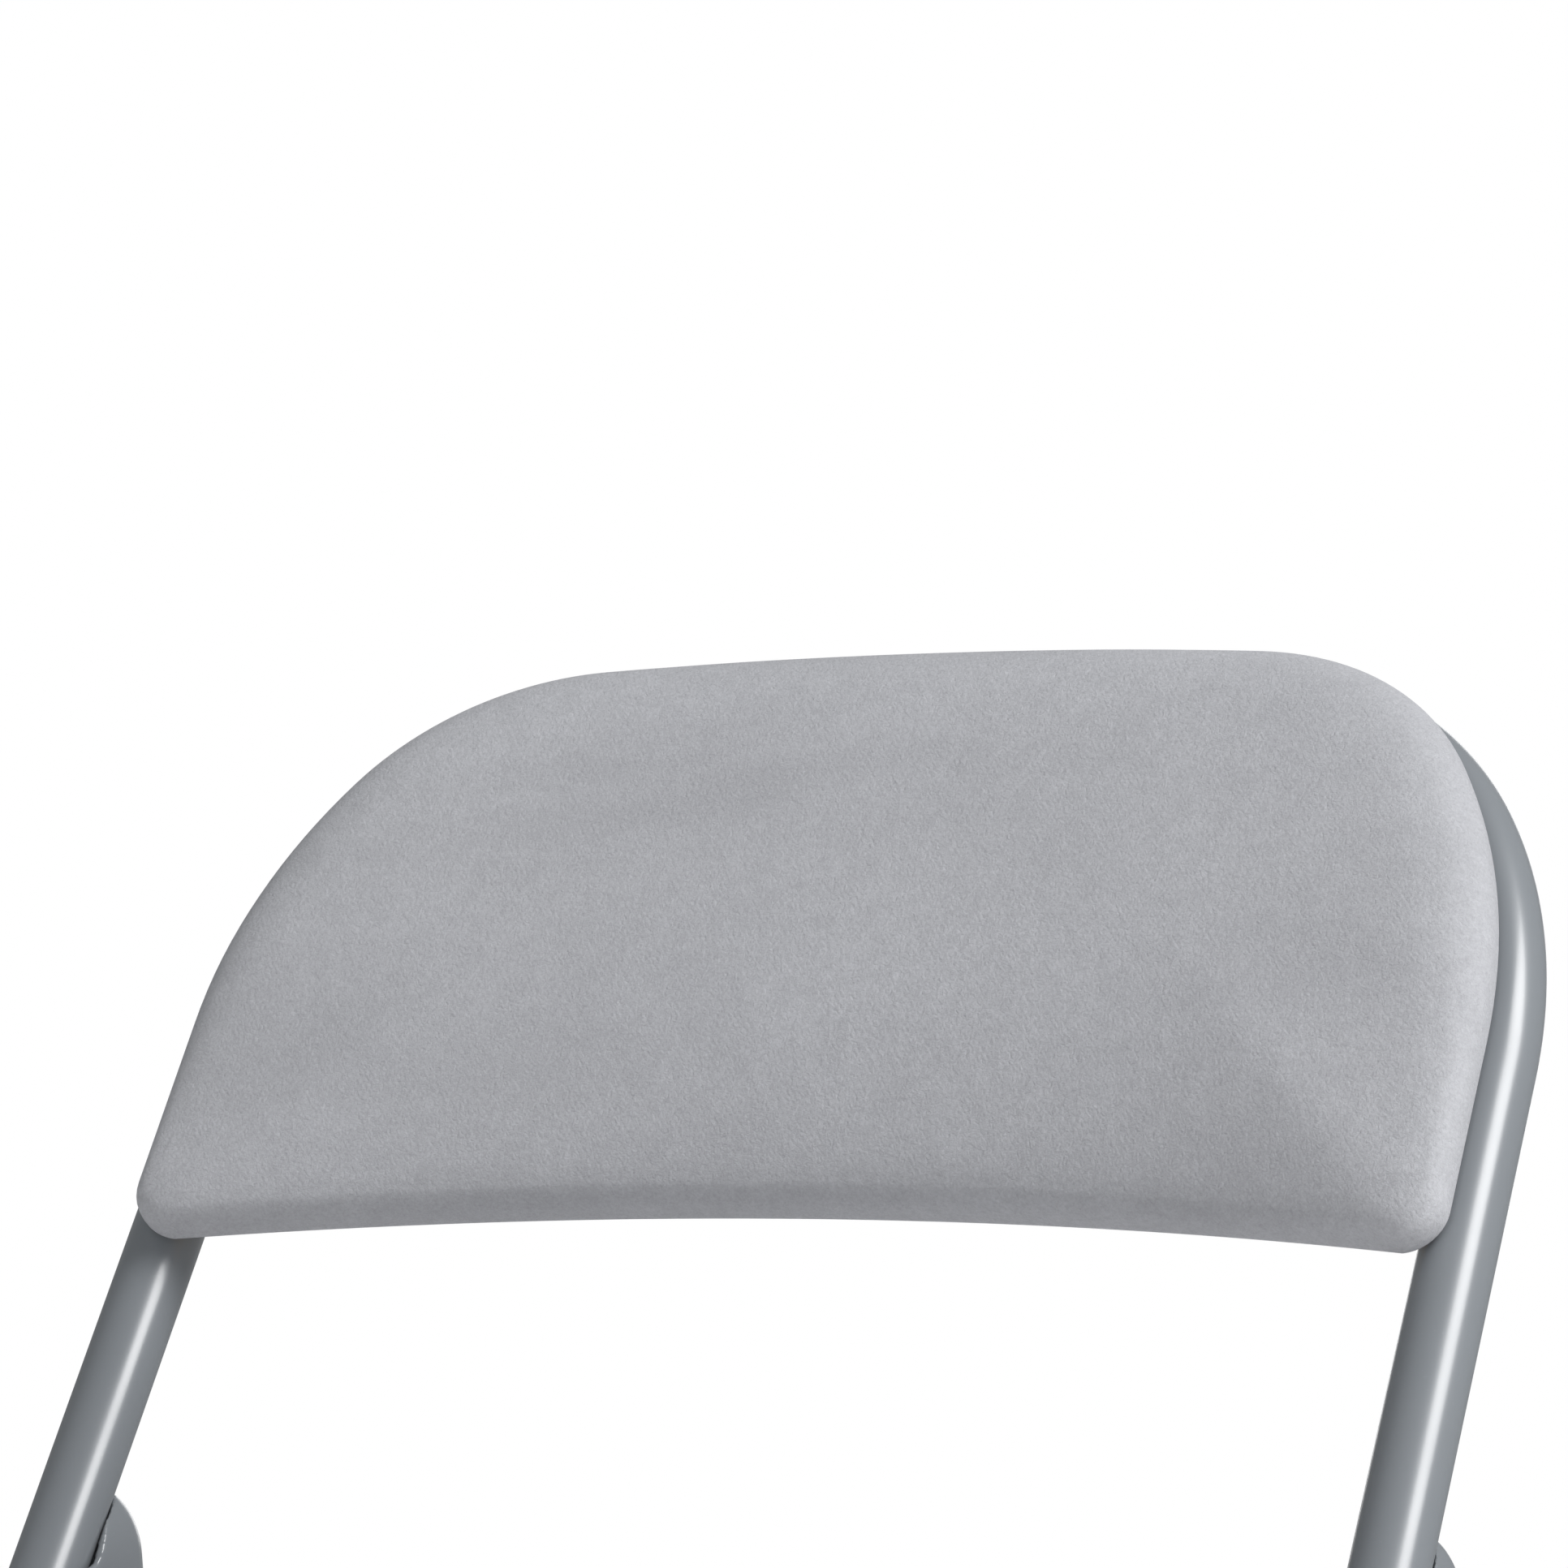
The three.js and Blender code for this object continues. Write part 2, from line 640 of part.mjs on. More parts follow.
/** Rings that close the saddle above the pivot like the end of an egg. */
function domeRings(inset) {
  return [0, 20, 38, 53, 66, 78, 86].map((turn) => legRing(
    DOME_START + (DOME_HIGH - inset) * Math.sin(turn * DEG),
    1,
    inset,
    Math.cos(turn * DEG),
  ));
}

function rearLeg() {
  const skin = solid(loft([
    legRing(LEG_END, 0),
    legRing(FLARE_LOW, 0),
    legRing(SADDLE_LOW, 1),
    ...domeRings(0),
  ]));
  const outside = skin.intersect(sidePlate(legSide(), -40, 40));
  const hollow = solid(loft([legRing(SADDLE_LOW + 6, 1, SHELL_T), ...domeRings(SHELL_T)]));
  const inner = FLANK - SHELL_T;
  const throat = block([-inner, inner], [-60, LEG_OFFSET], [SADDLE_LOW + 6, DOME_START + 3]);
  const swing = (angle) => {
    const tube = new THREE.CylinderGeometry(TUBE_R + 0.35, TUBE_R + 0.35, 260, 32);
    tube.rotateX(Math.PI / 2 - angle);
    return solid(tube);
  };
  const bore = rod(TUBE_R - TUBE_WALL, LEG_END - 5, FLARE_LOW, 0, LEG_OFFSET);
  const pivot = crossRod(RIVET_HOLE_R, -50, 50, 0, 0, 12);
  const pin = crossRod(RIVET_HOLE_R, -50, 50, LEG_OFFSET, -PIN_REACH, 12);
  const room = [hollow, throat, swing(LEG_SPREAD), swing(LEG_FOLDED), bore, pivot, pin];
  return cut(outside, ...room);
}

/** Turned rivet along X between two outside faces, as steps of [radius, x]. */
function rivet(steps) {
  return turned([[0, steps[0][1]], ...steps, [0, steps.at(-1)[1]]]);
}

const LEG_HEAD = FLANK + GAP;
const TUBE_HEAD = TUBE_R + GAP;
const BRACKET_GAP_IN = HALF_TRACK - BRACKET_IN + GAP;
const BRACKET_GAP_OUT = HALF_TRACK - BRACKET_OUT - GAP;

const legRivet = () => rivet([
  [HEAD_R - 1, -LEG_HEAD - HEAD_T], [HEAD_R, -LEG_HEAD], [RIVET_R, -LEG_HEAD],
  [RIVET_R, LEG_HEAD], [HEAD_R, LEG_HEAD], [HEAD_R - 1, LEG_HEAD + HEAD_T],
]);

const seatRivet = () => rivet([
  [HEAD_R - 1, -BRACKET_GAP_IN - HEAD_T], [HEAD_R, -BRACKET_GAP_IN], [RIVET_R, -BRACKET_GAP_IN],
  [RIVET_R, TUBE_HEAD], [HEAD_R, TUBE_HEAD], [HEAD_R - 1, TUBE_HEAD + HEAD_T],
]);

const guidePin = () => rivet([
  [HEAD_R - 1, -BRACKET_GAP_IN - HEAD_T], [HEAD_R, -BRACKET_GAP_IN], [RIVET_R, -BRACKET_GAP_IN],
  [RIVET_R, -BRACKET_GAP_OUT], [HEAD_R, -BRACKET_GAP_OUT], [HEAD_R, -TUBE_HEAD],
  [RIVET_R, -TUBE_HEAD], [RIVET_R, TUBE_HEAD], [HEAD_R, TUBE_HEAD],
  [HEAD_R - 1, TUBE_HEAD + HEAD_T],
]);

function bush() {
  return cut(
    crossRod(6.5, -BRACKET_GAP_OUT, -TUBE_HEAD, 0, 0, 16),
    crossRod(RIVET_HOLE_R, -40, 0, 0, 0, 12),
  );
}

for (const [sideName, side] of SIDE_NAMES) {
  const leg = add(rearLegs, `rear_leg_${sideName}`, rearLeg(), paint);
  leg.position.x = side * HALF_TRACK;
  const pivot = add(rearLegs, `leg_pivot_rivet_${sideName}`, legRivet(), steel);
  pivot.position.x = side * HALF_TRACK;
  const pin = add(rearLegs, `guide_pin_${sideName}`, guidePin(), steel);
  pin.position.set(side * HALF_TRACK, LEG_OFFSET, -PIN_REACH);
  const hinge = add(frontFrame, `seat_pivot_rivet_${sideName}`, seatRivet(), steel);
  hinge.position.set(side * HALF_TRACK, 0, SEAT_PIVOT);
  const spacer = add(frontFrame, `seat_pivot_bush_${sideName}`, bush(), rubber);
  spacer.position.set(side * HALF_TRACK, 0, SEAT_PIVOT);
  if (side < 0) {
    for (const piece of [pin, hinge, spacer]) piece.rotation.z = Math.PI;
  }
}

add(rearLegs, 'rear_stretcher', stretcher(LEG_OFFSET, REAR_STRETCHER), paint);

// ---- feet --------------------------------------------------------------------------------

const CAP_R = 13.8;
const CAP_HIGH = 36;

/** A cap over the end of a leaning tube, cut level with the floor. */
function footCap(lean, tubeEnd) {
  const post = rod(CAP_R, -30, CAP_HIGH);
  const pocket = rod(TUBE_R + GAP, tubeEnd - GAP, CAP_HIGH + 5);
  const floor = new THREE.BoxGeometry(200, 200, 100);
  floor.translate(0, 0, -50);
  floor.rotateX(-lean);
  return cut(post, pocket, solid(floor));
}

for (const [sideName, side] of SIDE_NAMES) {
  const front = add(frontFrame, `front_foot_cap_${sideName}`, footCap(-RECLINE, FRAME_END), rubber);
  front.position.x = side * HALF_TRACK;
  const rear = add(rearLegs, `rear_foot_cap_${sideName}`, footCap(LEG_LEAN, LEG_END - FLOOR_AT), rubber);
  rear.position.set(side * HALF_TRACK, LEG_OFFSET, FLOOR_AT);
}

// The origin is on the floor, in the middle of the chair's extent from front to rear.
const extent = new THREE.Box3().setFromObject(chair, true);
chair.position.y = -(extent.min.y + extent.max.y) / 2;

export default chair;
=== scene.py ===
"""A padded folding chair with a velvet backrest: the looks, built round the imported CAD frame.

Shapes are drawn in millimetres in three local frames and placed in the row frame in metres:
the front frame leans back, the rear legs lean the other way, and the seat is tilted a little.
"""

import json
import math

import bmesh
import bpy
import numpy as np
from mathutils import Matrix, Vector
from mathutils.kdtree import KDTree


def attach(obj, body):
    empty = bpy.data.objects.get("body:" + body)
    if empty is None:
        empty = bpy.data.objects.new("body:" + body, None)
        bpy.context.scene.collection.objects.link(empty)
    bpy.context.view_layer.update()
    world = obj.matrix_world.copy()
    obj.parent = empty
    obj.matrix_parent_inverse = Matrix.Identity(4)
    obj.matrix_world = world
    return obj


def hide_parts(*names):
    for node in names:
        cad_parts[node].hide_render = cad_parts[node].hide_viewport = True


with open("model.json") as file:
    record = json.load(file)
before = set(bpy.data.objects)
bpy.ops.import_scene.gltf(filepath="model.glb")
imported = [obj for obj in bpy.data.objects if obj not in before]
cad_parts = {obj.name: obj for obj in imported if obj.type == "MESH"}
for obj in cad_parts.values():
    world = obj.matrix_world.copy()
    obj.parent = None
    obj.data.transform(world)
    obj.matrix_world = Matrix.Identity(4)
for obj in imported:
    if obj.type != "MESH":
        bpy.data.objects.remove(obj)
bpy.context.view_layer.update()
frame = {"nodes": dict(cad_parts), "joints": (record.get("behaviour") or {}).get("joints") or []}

MM = 0.001
LEFT_RIGHT = (("left", -1), ("right", 1))

# ---- camera ------------------------------------------------------------------------------

CAMERA_AT = Vector((0.7587, -1.5055, 0.3703))
CAMERA_RIGHT = Vector((0.9044, 0.4207, 0.0707))
CAMERA_UP = Vector((0.0213, -0.2103, 0.9775))
CAMERA_LENS = 140.9


def add_camera():
    right = CAMERA_RIGHT.normalized()
    back = right.cross(CAMERA_UP).normalized()
    up = back.cross(right)
    camera = bpy.data.objects.new("camera", bpy.data.cameras.new("camera"))
    camera.data.lens = CAMERA_LENS
    camera.data.sensor_width = 36
    camera.matrix_world = Matrix.LocRotScale(
        CAMERA_AT, Matrix((right, up, back)).transposed().to_quaternion(), None
    )
    bpy.context.scene.collection.objects.link(camera)
    bpy.context.scene.camera = camera


add_camera()

# ---- dimensions, in millimetres ----------------------------------------------------------

TUBE_R = 11                 # legs and frame: tube 22 mm across
TUBE_WALL = 1.2
HALF_TRACK = 205.7          # middle plane to the centreline of each leg
FRAME_END = 9               # along the front frame: where the bare tube starts, in its cap
PAD_LOW = 655               # along the front frame: lower corners of the backrest
BOW_START = PAD_LOW + 60    # where the straight tube starts to bend
BOW_SIDE_R = 173
BOW_SIDE_ANGLE = math.radians(31)
BOW_TOP_R = 129
BACK_DEPTH = 18             # how far the middle of the back curves to the rear
BACK_FACE = -TUBE_R - 0.6   # rear face of the backrest, at its sides
BOARD_LOW = 16              # underside of the seat board, above the seat pivot
BOARD_T = 9
LEG_PIVOT = 529             # along the front frame: rivets of the rear legs
SEAT_PIVOT = 443            # along the front frame: rivets of the seat
LEG_LEAN = math.radians(18)
LEG_SPREAD = math.radians(43)   # rear leg to front frame, chair open
LEG_FOLDED = math.radians(3)    # the same, chair folded
LEG_OFFSET = 33             # leg centreline behind its pivot
SEAT_TILT = math.radians(3)
PIN_REACH = 94              # guide pin, down the rear leg from its pivot
HEAD_R = 5.2                # rivet and pin heads
HEAD_T = 1.6
RIVET_R = 3

joint_at = {joint["name"]: Vector(joint["pos_m"]) for joint in frame["joints"]}
seat_pivot = joint_at["seat_fold"]
leg_pivot = joint_at["rear_leg_fold"]
tube_way = (leg_pivot - seat_pivot).normalized()
RECLINE = math.atan2(tube_way.y, tube_way.z)

TO_METRES = Matrix.Scale(MM, 4)
IN_FRAME = (
    Matrix.Translation(leg_pivot - tube_way * LEG_PIVOT * MM)
    @ Matrix.Rotation(-RECLINE, 4, "X")
    @ TO_METRES
)
IN_LEGS = Matrix.Translation(leg_pivot) @ Matrix.Rotation(LEG_LEAN, 4, "X") @ TO_METRES
IN_SEAT = Matrix.Translation(seat_pivot) @ Matrix.Rotation(-SEAT_TILT, 4, "X") @ TO_METRES

# ---- materials ---------------------------------------------------------------------------


class Shader:
    """A node material with short calls for the nodes that the finishes below share."""

    def __init__(self, name, place=None, **uniform):
        self.material = bpy.data.materials.new(name)
        self.material.use_nodes = True
        self.tree = self.material.node_tree
        self.surface = self.tree.nodes["Principled BSDF"]
        for socket, value in uniform.items():
            self.surface.inputs[socket.replace("_", " ")].default_value = value
        self.at = self.node("ShaderNodeTexCoord").outputs["Object"]
        if place is not None:
            level = self.node("ShaderNodeMapping")
            level.inputs["Rotation"].default_value = place
            self.link(self.at, level.inputs["Vector"])
            self.at = level.outputs["Vector"]

    def node(self, kind, **settings):
        made = self.tree.nodes.new(kind)
        for key, value in settings.items():
            setattr(made, key, value)
        return made

    def link(self, output, socket):
        self.tree.links.new(output, socket)

    def stretched(self, scale, turn=0):
        """Coordinates turned about Y by some degrees and then scaled."""
        mapping = self.node("ShaderNodeMapping")
        mapping.inputs["Rotation"].default_value = (0, math.radians(turn), 0)
        mapping.inputs["Scale"].default_value = scale
        self.link(self.at, mapping.inputs["Vector"])
        return mapping.outputs["Vector"]

    def noise(self, scale, detail=2, roughness=0.5, distortion=0, at=None):
        noise = self.node("ShaderNodeTexNoise")
        noise.inputs["Scale"].default_value = scale
        noise.inputs["Detail"].default_value = detail
        noise.inputs["Roughness"].default_value = roughness
        noise.inputs["Distortion"].default_value = distortion
        self.link(at or self.at, noise.inputs["Vector"])
        return noise.outputs["Fac"]

    def wave(self, scale, direction="X", distortion=0, detail=1, detail_scale=1, at=None):
        wave = self.node("ShaderNodeTexWave", bands_direction=direction)
        wave.inputs["Scale"].default_value = scale
        wave.inputs["Distortion"].default_value = distortion
        wave.inputs["Detail"].default_value = detail
        wave.inputs["Detail Scale"].default_value = detail_scale
        self.link(at or self.at, wave.inputs["Vector"])
        return wave.outputs["Fac"]

    def spread(self, value, low, high, start=0.3, end=0.7):
        """A noise value carried from start..end to low..high."""
        spread = self.node("ShaderNodeMapRange")
        for socket, number in (
            ("From Min", start), ("From Max", end), ("To Min", low), ("To Max", high),
        ):
            spread.inputs[socket].default_value = number
        self.link(value, spread.inputs["Value"])
        return spread.outputs["Result"]

    def mixed(self, share, first, second, blend="MIX"):
        mix = self.node("ShaderNodeMix", data_type="RGBA", blend_type=blend)
        for socket, value in ((0, share), (6, first), (7, second)):
            if isinstance(value, (tuple, float)):
                mix.inputs[socket].default_value = value
            else:
                self.link(value, mix.inputs[socket])
        return mix.outputs[2]

    def colour(self, output):
        self.link(output, self.surface.inputs["Base Color"])

    def roughness(self, output):
        self.link(output, self.surface.inputs["Roughness"])

    def bump(self, *layers):
        """Bumps in a row: (height output, strength, distance in metres)."""
        normal = None
        for height, strength, distance in layers:
            bump = self.node("ShaderNodeBump")
            bump.inputs["Strength"].default_value = strength
            bump.inputs["Distance"].default_value = distance
            self.link(height, bump.inputs["Height"])
            if normal is not None:
                self.link(normal, bump.inputs["Normal"])
            normal = bump.outputs["Normal"]
        self.link(normal, self.surface.inputs["Normal"])


def grey(value, tint=(1, 1, 1)):
    return (value * tint[0], value * tint[1], value * tint[2], 1)


def paint_material():
    """Sprayed grey enamel: faint orange peel, small changes of gloss, fine dust."""
    paint = Shader("grey_paint", Coat_Weight=0.2, Coat_Roughness=0.16, Specular_IOR_Level=0.5)
    cool = (0.93, 1.0, 1.075)
    cloudy = paint.noise(9, detail=3)
    tone = paint.mixed(paint.spread(cloudy, 0, 1), grey(0.182, cool), grey(0.190, cool))
    specks = paint.spread(paint.noise(900, detail=1), 0, 0.3, 0.7, 0.8)
    paint.colour(paint.mixed(specks, tone, grey(0.225, cool)))
    paint.roughness(paint.spread(paint.noise(35, detail=4), 0.28, 0.31))
    paint.bump((paint.noise(420, detail=1), 0.06, 0.0001))
    return paint.material


def velvet_material():
    """Short-pile velvet: nap brushed in slanting patches, fine ribs and a light sheen."""
    velvet = Shader(
        "grey_velvet",
        Sheen_Weight=0.12,
        Sheen_Roughness=0.45,
        Sheen_Tint=(0.92, 0.93, 0.97, 1),
        Specular_IOR_Level=0.12,
    )
    cool = (0.975, 0.983, 1.035)
    pile = velvet.noise(1500, detail=3, roughness=0.65)
    tufts = velvet.noise(720, detail=4, roughness=0.7, distortion=0.5)
    mottled = velvet.noise(150, detail=4, roughness=0.6, distortion=0.6)
    brushed = velvet.noise(
        11, detail=3, roughness=0.5, distortion=0.9, at=velvet.stretched((0.45, 1, 1.3), 38)
    )
    laid = velvet.noise(5, detail=2, roughness=0.5, at=velvet.stretched((1.4, 1, 0.7), -25))
    tone = velvet.mixed(velvet.spread(laid, 0, 1), grey(0.31, cool), grey(0.475, cool))
    tone = velvet.mixed(velvet.spread(brushed, 0, 0.75), tone, grey(0.495, cool))
    tone = velvet.mixed(velvet.spread(mottled, 0, 0.35), tone, grey(0.27, cool))
    tone = velvet.mixed(velvet.spread(tufts, 0, 0.6), tone, grey(0.255, cool))
    tone = velvet.mixed(velvet.spread(pile, 0, 0.35), tone, grey(0.50, cool))
    velvet.colour(tone)
    velvet.roughness(velvet.spread(brushed, 0.86, 1.0))
    ribs = velvet.wave(210, distortion=1.5, detail=2, detail_scale=3,
                       at=velvet.stretched((1, 1, 1), 38))
    velvet.bump((brushed, 0.3, 0.0014), (ribs, 0.06, 0.0003), (mottled, 0.25, 0.0006),
                (tufts, 0.6, 0.0007), (pile, 0.5, 0.0003))
    return velvet.material


def plywood_material(name, place):
    """Birch plywood: long grain, a wavy figure and fine pores."""
    wood = Shader(name, place=place, Specular_IOR_Level=0.35)
    grain = wood.noise(60, detail=6, roughness=0.6, distortion=0.6,
                       at=wood.stretched((0.08, 1.6, 1.6)))
    figure = wood.wave(7, direction="Y", distortion=5, detail=3, detail_scale=0.8,
                       at=wood.stretched((0.35, 1.5, 1.5)))
    pores = wood.noise(900, detail=2, at=wood.stretched((0.06, 1, 1)))
    tone = wood.mixed(wood.spread(figure, 0, 1, 0.1, 0.9), (0.52, 0.36, 0.205, 1),
                      (0.62, 0.455, 0.28, 1))
    tone = wood.mixed(wood.spread(grain, 0, 0.55), tone, (0.42, 0.27, 0.14, 1))
    tone = wood.mixed(wood.spread(pores, 0, 0.35, 0.58, 0.72), tone, (0.30, 0.18, 0.09, 1))
    wood.colour(tone)
    wood.roughness(wood.spread(grain, 0.52, 0.72))
    wood.bump((grain, 0.15, 0.0004), (pores, 0.2, 0.0002))
    return wood.material


def lining_material():
    """Black non-woven lining: felted fibres pressed in a fine crossed pattern."""
    lining = Shader("black_lining", Sheen_Weight=0.15, Sheen_Roughness=0.6,
                    Specular_IOR_Level=0.2)
    fibres = lining.noise(700, detail=5, roughness=0.7, distortion=1.5)
    warp = lining.wave(320, direction="X", distortion=0.6)
    weft = lining.wave(320, direction="Y", distortion=0.6)
    crossed = lining.mixed(0.5, warp, weft)
    tone = lining.mixed(lining.spread(fibres, 0, 1), grey(0.012), grey(0.035))
    lining.colour(lining.mixed(lining.spread(crossed, 0, 0.4, 0.2, 0.8), tone, grey(0.022)))
    lining.roughness(lining.spread(fibres, 0.82, 0.98))
    lining.bump((crossed, 0.3, 0.0003), (fibres, 0.4, 0.0003))
    return lining.material


def rubber_material():
    """Moulded grey rubber, slightly dusty, with a matt skin."""
    rubber = Shader("grey_rubber", Specular_IOR_Level=0.35)
    dusty = rubber.noise(55, detail=5, roughness=0.6)
    skin = rubber.noise(1600, detail=2)
    rubber.colour(rubber.mixed(rubber.spread(dusty, 0, 1), grey(0.075), grey(0.105)))
    rubber.roughness(rubber.spread(dusty, 0.55, 0.78))
    rubber.bump((skin, 0.25, 0.0002))
    return rubber.material


def steel_material():
    """Zinc-plated steel: fine turned marks and a faint blotchy plating."""
    steel = Shader("zinc_steel", Metallic=1.0)
    plating = steel.noise(260, detail=4, roughness=0.6)
    marks = steel.noise(2200, detail=2, at=steel.stretched((0.15, 1, 1)))
    steel.colour(steel.mixed(steel.spread(plating, 0, 1), grey(0.50), grey(0.64)))
    steel.roughness(steel.spread(plating, 0.29, 0.42))
    steel.bump((marks, 0.2, 0.0001))
    return steel.material


paint = paint_material()
velvet = velvet_material()
panel_wood = plywood_material("plywood_back", (RECLINE, 0, 0))
board_wood = plywood_material("plywood_seat", (SEAT_TILT, 0, 0))
lining = lining_material()
rubber = rubber_material()
steel = steel_material()

# ---- meshes ------------------------------------------------------------------------------


def new_object(name, points, faces, place):
    """A mesh from points in a local frame, moved to the row frame."""
    mesh = bpy.data.meshes.new(name)
    mesh.from_pydata([place @ Vector(point) for point in points], [], faces)
    made = bpy.data.objects.new(name, mesh)
    bpy.context.scene.collection.objects.link(made)
    outwards(mesh)
    return made


def outwards(mesh):
    edit = bmesh.new()
    edit.from_mesh(mesh)
    bmesh.ops.recalc_face_normals(edit, faces=edit.faces)
    edit.to_mesh(mesh)
    edit.free()


def skin(rings, closed=False):
    """Points and faces through rings; the ends are capped unless the last ring joins the first."""
    count = len(rings[0])
    points = [point for ring in rings for point in ring]
    faces = []
    spans = len(rings) if closed else len(rings) - 1
    for r in range(spans):
        low, high = r * count, (r + 1) % len(rings) * count
        for i in range(count):
            j = (i + 1) % count
            faces.append((low + i, low + j, high + j, high + i))
    if not closed:
        faces.append(tuple(range(count))[::-1])
        faces.append(tuple(range((len(rings) - 1) * count, len(rings) * count)))
    return points, faces


def copied(name, source):
    """A new object with its own copy of another object's mesh."""
    made = bpy.data.objects.new(name, source.data.copy())
    bpy.context.scene.collection.objects.link(made)
    return made


def apply_modifiers(obj):
    """Puts what an object's modifiers make into its mesh, and takes the modifiers off."""
    graph = bpy.context.evaluated_depsgraph_get()
    result = bpy.data.meshes.new_from_object(obj.evaluated_get(graph))
    obj.modifiers.clear()
    old = obj.data
    obj.data = result
    bpy.data.meshes.remove(old)


def modify(obj, kind, **settings):
    """Adds a modifier with these settings and applies it."""
    modifier = obj.modifiers.new(kind.lower(), kind)
    for key, value in settings.items():
        setattr(modifier, key, value)
    apply_modifiers(obj)


def carved(obj, operation, *tools):
    """A boolean with each tool in turn; the tools are deleted."""
    for tool in tools:
        modify(obj, "BOOLEAN", object=tool, operation=operation, solver="EXACT")
        bpy.data.objects.remove(tool)
    return obj


def smooth(obj, angle):
    """Smooth shading, with edges sharper than some degrees kept crisp."""
    obj.data.shade_smooth()
    obj.data.set_sharp_from_angle(angle=math.radians(angle))


def dress(obj, material, slot, body, *nodes, angle=35):
    """Gives a piece smooth shading, its finish and its body, and hides the CAD nodes that it stands
    for.
    """
    smooth(obj, angle)
    obj.data.materials.clear()
    obj.data.materials.append(material)
    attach(obj, body)
    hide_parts(*nodes)


def circle(radius, sides):
    return [
        (radius * math.cos(2 * math.pi * i / sides), radius * math.sin(2 * math.pi * i / sides))
        for i in range(sides)
    ]


def lathe(name, profile, place, sides=40):
    """A piece turned about the X axis: (radius, place along X) pairs, closed on the axis."""
    rings = [[(x, c, s) for c, s in circle(max(r, 0.02), sides)] for r, x in profile]
    return new_object(name, *skin(rings), place)


def plate(name, outline, x0, x1, place):
    """A flat outline of (y, z) points, thick along X from x0 to x1."""
    rings = [[(x, y, z) for y, z in outline] for x in (x0, x1)]
    return new_object(name, *skin(rings), place)


def box_piece(name, low, high, place):
    (x0, y0, z0), (x1, y1, z1) = low, high
    return plate(name, [(y0, z0), (y1, z0), (y1, z1), (y0, z1)], x0, x1, place)


def arc(centre, radius, start, end, steps):
    return [
        (
            centre[0] + radius * math.cos(start + (end - start) * i / steps),
            centre[1] + radius * math.sin(start + (end - start) * i / steps),
        )
        for i in range(steps + 1)
    ]


def curve_through(points, steps):
    """A Catmull-Rom curve through an open line of points, both ends included."""
    ends = [points[0], *points, points[-1]]
    line = []
    for k in range(len(points) - 1):
        a, b, c, d = (np.array(p, float) for p in ends[k:k + 4])
        for i in range(steps):
            t = i / steps
            line.append(tuple(0.5 * (2 * b + (c - a) * t + (2 * a - 5 * b + 4 * c - d) * t**2
                                     + (3 * b - a - 3 * c + d) * t**3)))
    return [*line, tuple(map(float, points[-1]))]


def mirrored(half):
    """The right half of an outline, closed with its mirror image."""
    left = [(-x, y) for x, y in reversed(half) if x > 1e-6]
    return [*half, *left]


# ---- tubes -------------------------------------------------------------------------------


def back_curve(x):
    return BACK_DEPTH * (1 - (x / HALF_TRACK) ** 2)


def bow_half():
    """The right half of the bow's centreline, from the middle to where the straight leg starts."""
    side_centre = (HALF_TRACK - BOW_SIDE_R, BOW_START)
    step = BOW_SIDE_R - BOW_TOP_R
    top_centre = (
        side_centre[0] + step * math.cos(BOW_SIDE_ANGLE),
        side_centre[1] + step * math.sin(BOW_SIDE_ANGLE),
    )
    top = arc(top_centre, BOW_TOP_R, math.pi / 2, BOW_SIDE_ANGLE, 40)
    flat = [(top[0][0] * i / 12, top[0][1]) for i in range(12)]
    return [*flat, *top, *arc(side_centre, BOW_SIDE_R, BOW_SIDE_ANGLE, 0, 28)[1:]]


def swept_tube(name, path, place, sides=72):
    """A hollow tube along a path: the outside skin, back along the bore, closed at both ends."""
    across = Vector((0, 1, 0))
    path = [Vector(point) for point in path]
    ways = [
        (path[min(k + 1, len(path) - 1)] - path[max(k - 1, 0)]).normalized()
        for k in range(len(path))
    ]

    def rings(radius):
        found = []
        for station, way in zip(path, ways):
            normal = (across - way * across.dot(way)).normalized()
            side = way.cross(normal)
            found.append([station + normal * c + side * s for c, s in circle(radius, sides)])
        return found

    return new_object(
        name, *skin([*rings(TUBE_R), *rings(TUBE_R - TUBE_WALL)[::-1]], closed=True), place
    )


def front_frame():
    half = bow_half()
    straight = [(HALF_TRACK, BOW_START - 3 * i) for i in (1, 2, 3, 6)]
    half = [*half, *straight, (HALF_TRACK, FRAME_END)]
    line = [*[(-x, z) for x, z in reversed(half) if x > 0], *half]
    path = [(x, back_curve(x) if abs(x) < HALF_TRACK else 0, z) for x, z in line]
    tube = swept_tube("frame_tube", path, IN_FRAME)
    dress(tube, paint, "grey_paint", "front_assembly", "front_frame")


STRETCHER_R = 8
STRETCHER_REACH = 203       # the cross tube is coped to the leg tubes at both ends
FRONT_STRETCHER = 140       # along the front frame
REAR_STRETCHER = -330       # along the rear legs, from their pivot


def stretcher(name, y, z, place, body, node):
    """A cross tube coped round both legs."""
    half, bore_r = STRETCHER_REACH, STRETCHER_R - TUBE_WALL
    profile = [(STRETCHER_R, -half), (STRETCHER_R, half), (bore_r, half), (bore_r, -half)]
    rings = [[(x, y + c, z + s) for c, s in circle(radius, 48)] for radius, x in profile]
    tube = new_object(name, *skin(rings, closed=True), place)
    legs = []
    for _, side in LEFT_RIGHT:
        leg = [[(side * HALF_TRACK + c, y + s, z + up) for c, s in circle(TUBE_R + 0.05, 72)]
               for up in (-30, 30)]
        legs.append(new_object("leg_tool", *skin(leg), place))
    carved(tube, "DIFFERENCE", *legs)
    dress(tube, paint, "grey_paint", body, node)


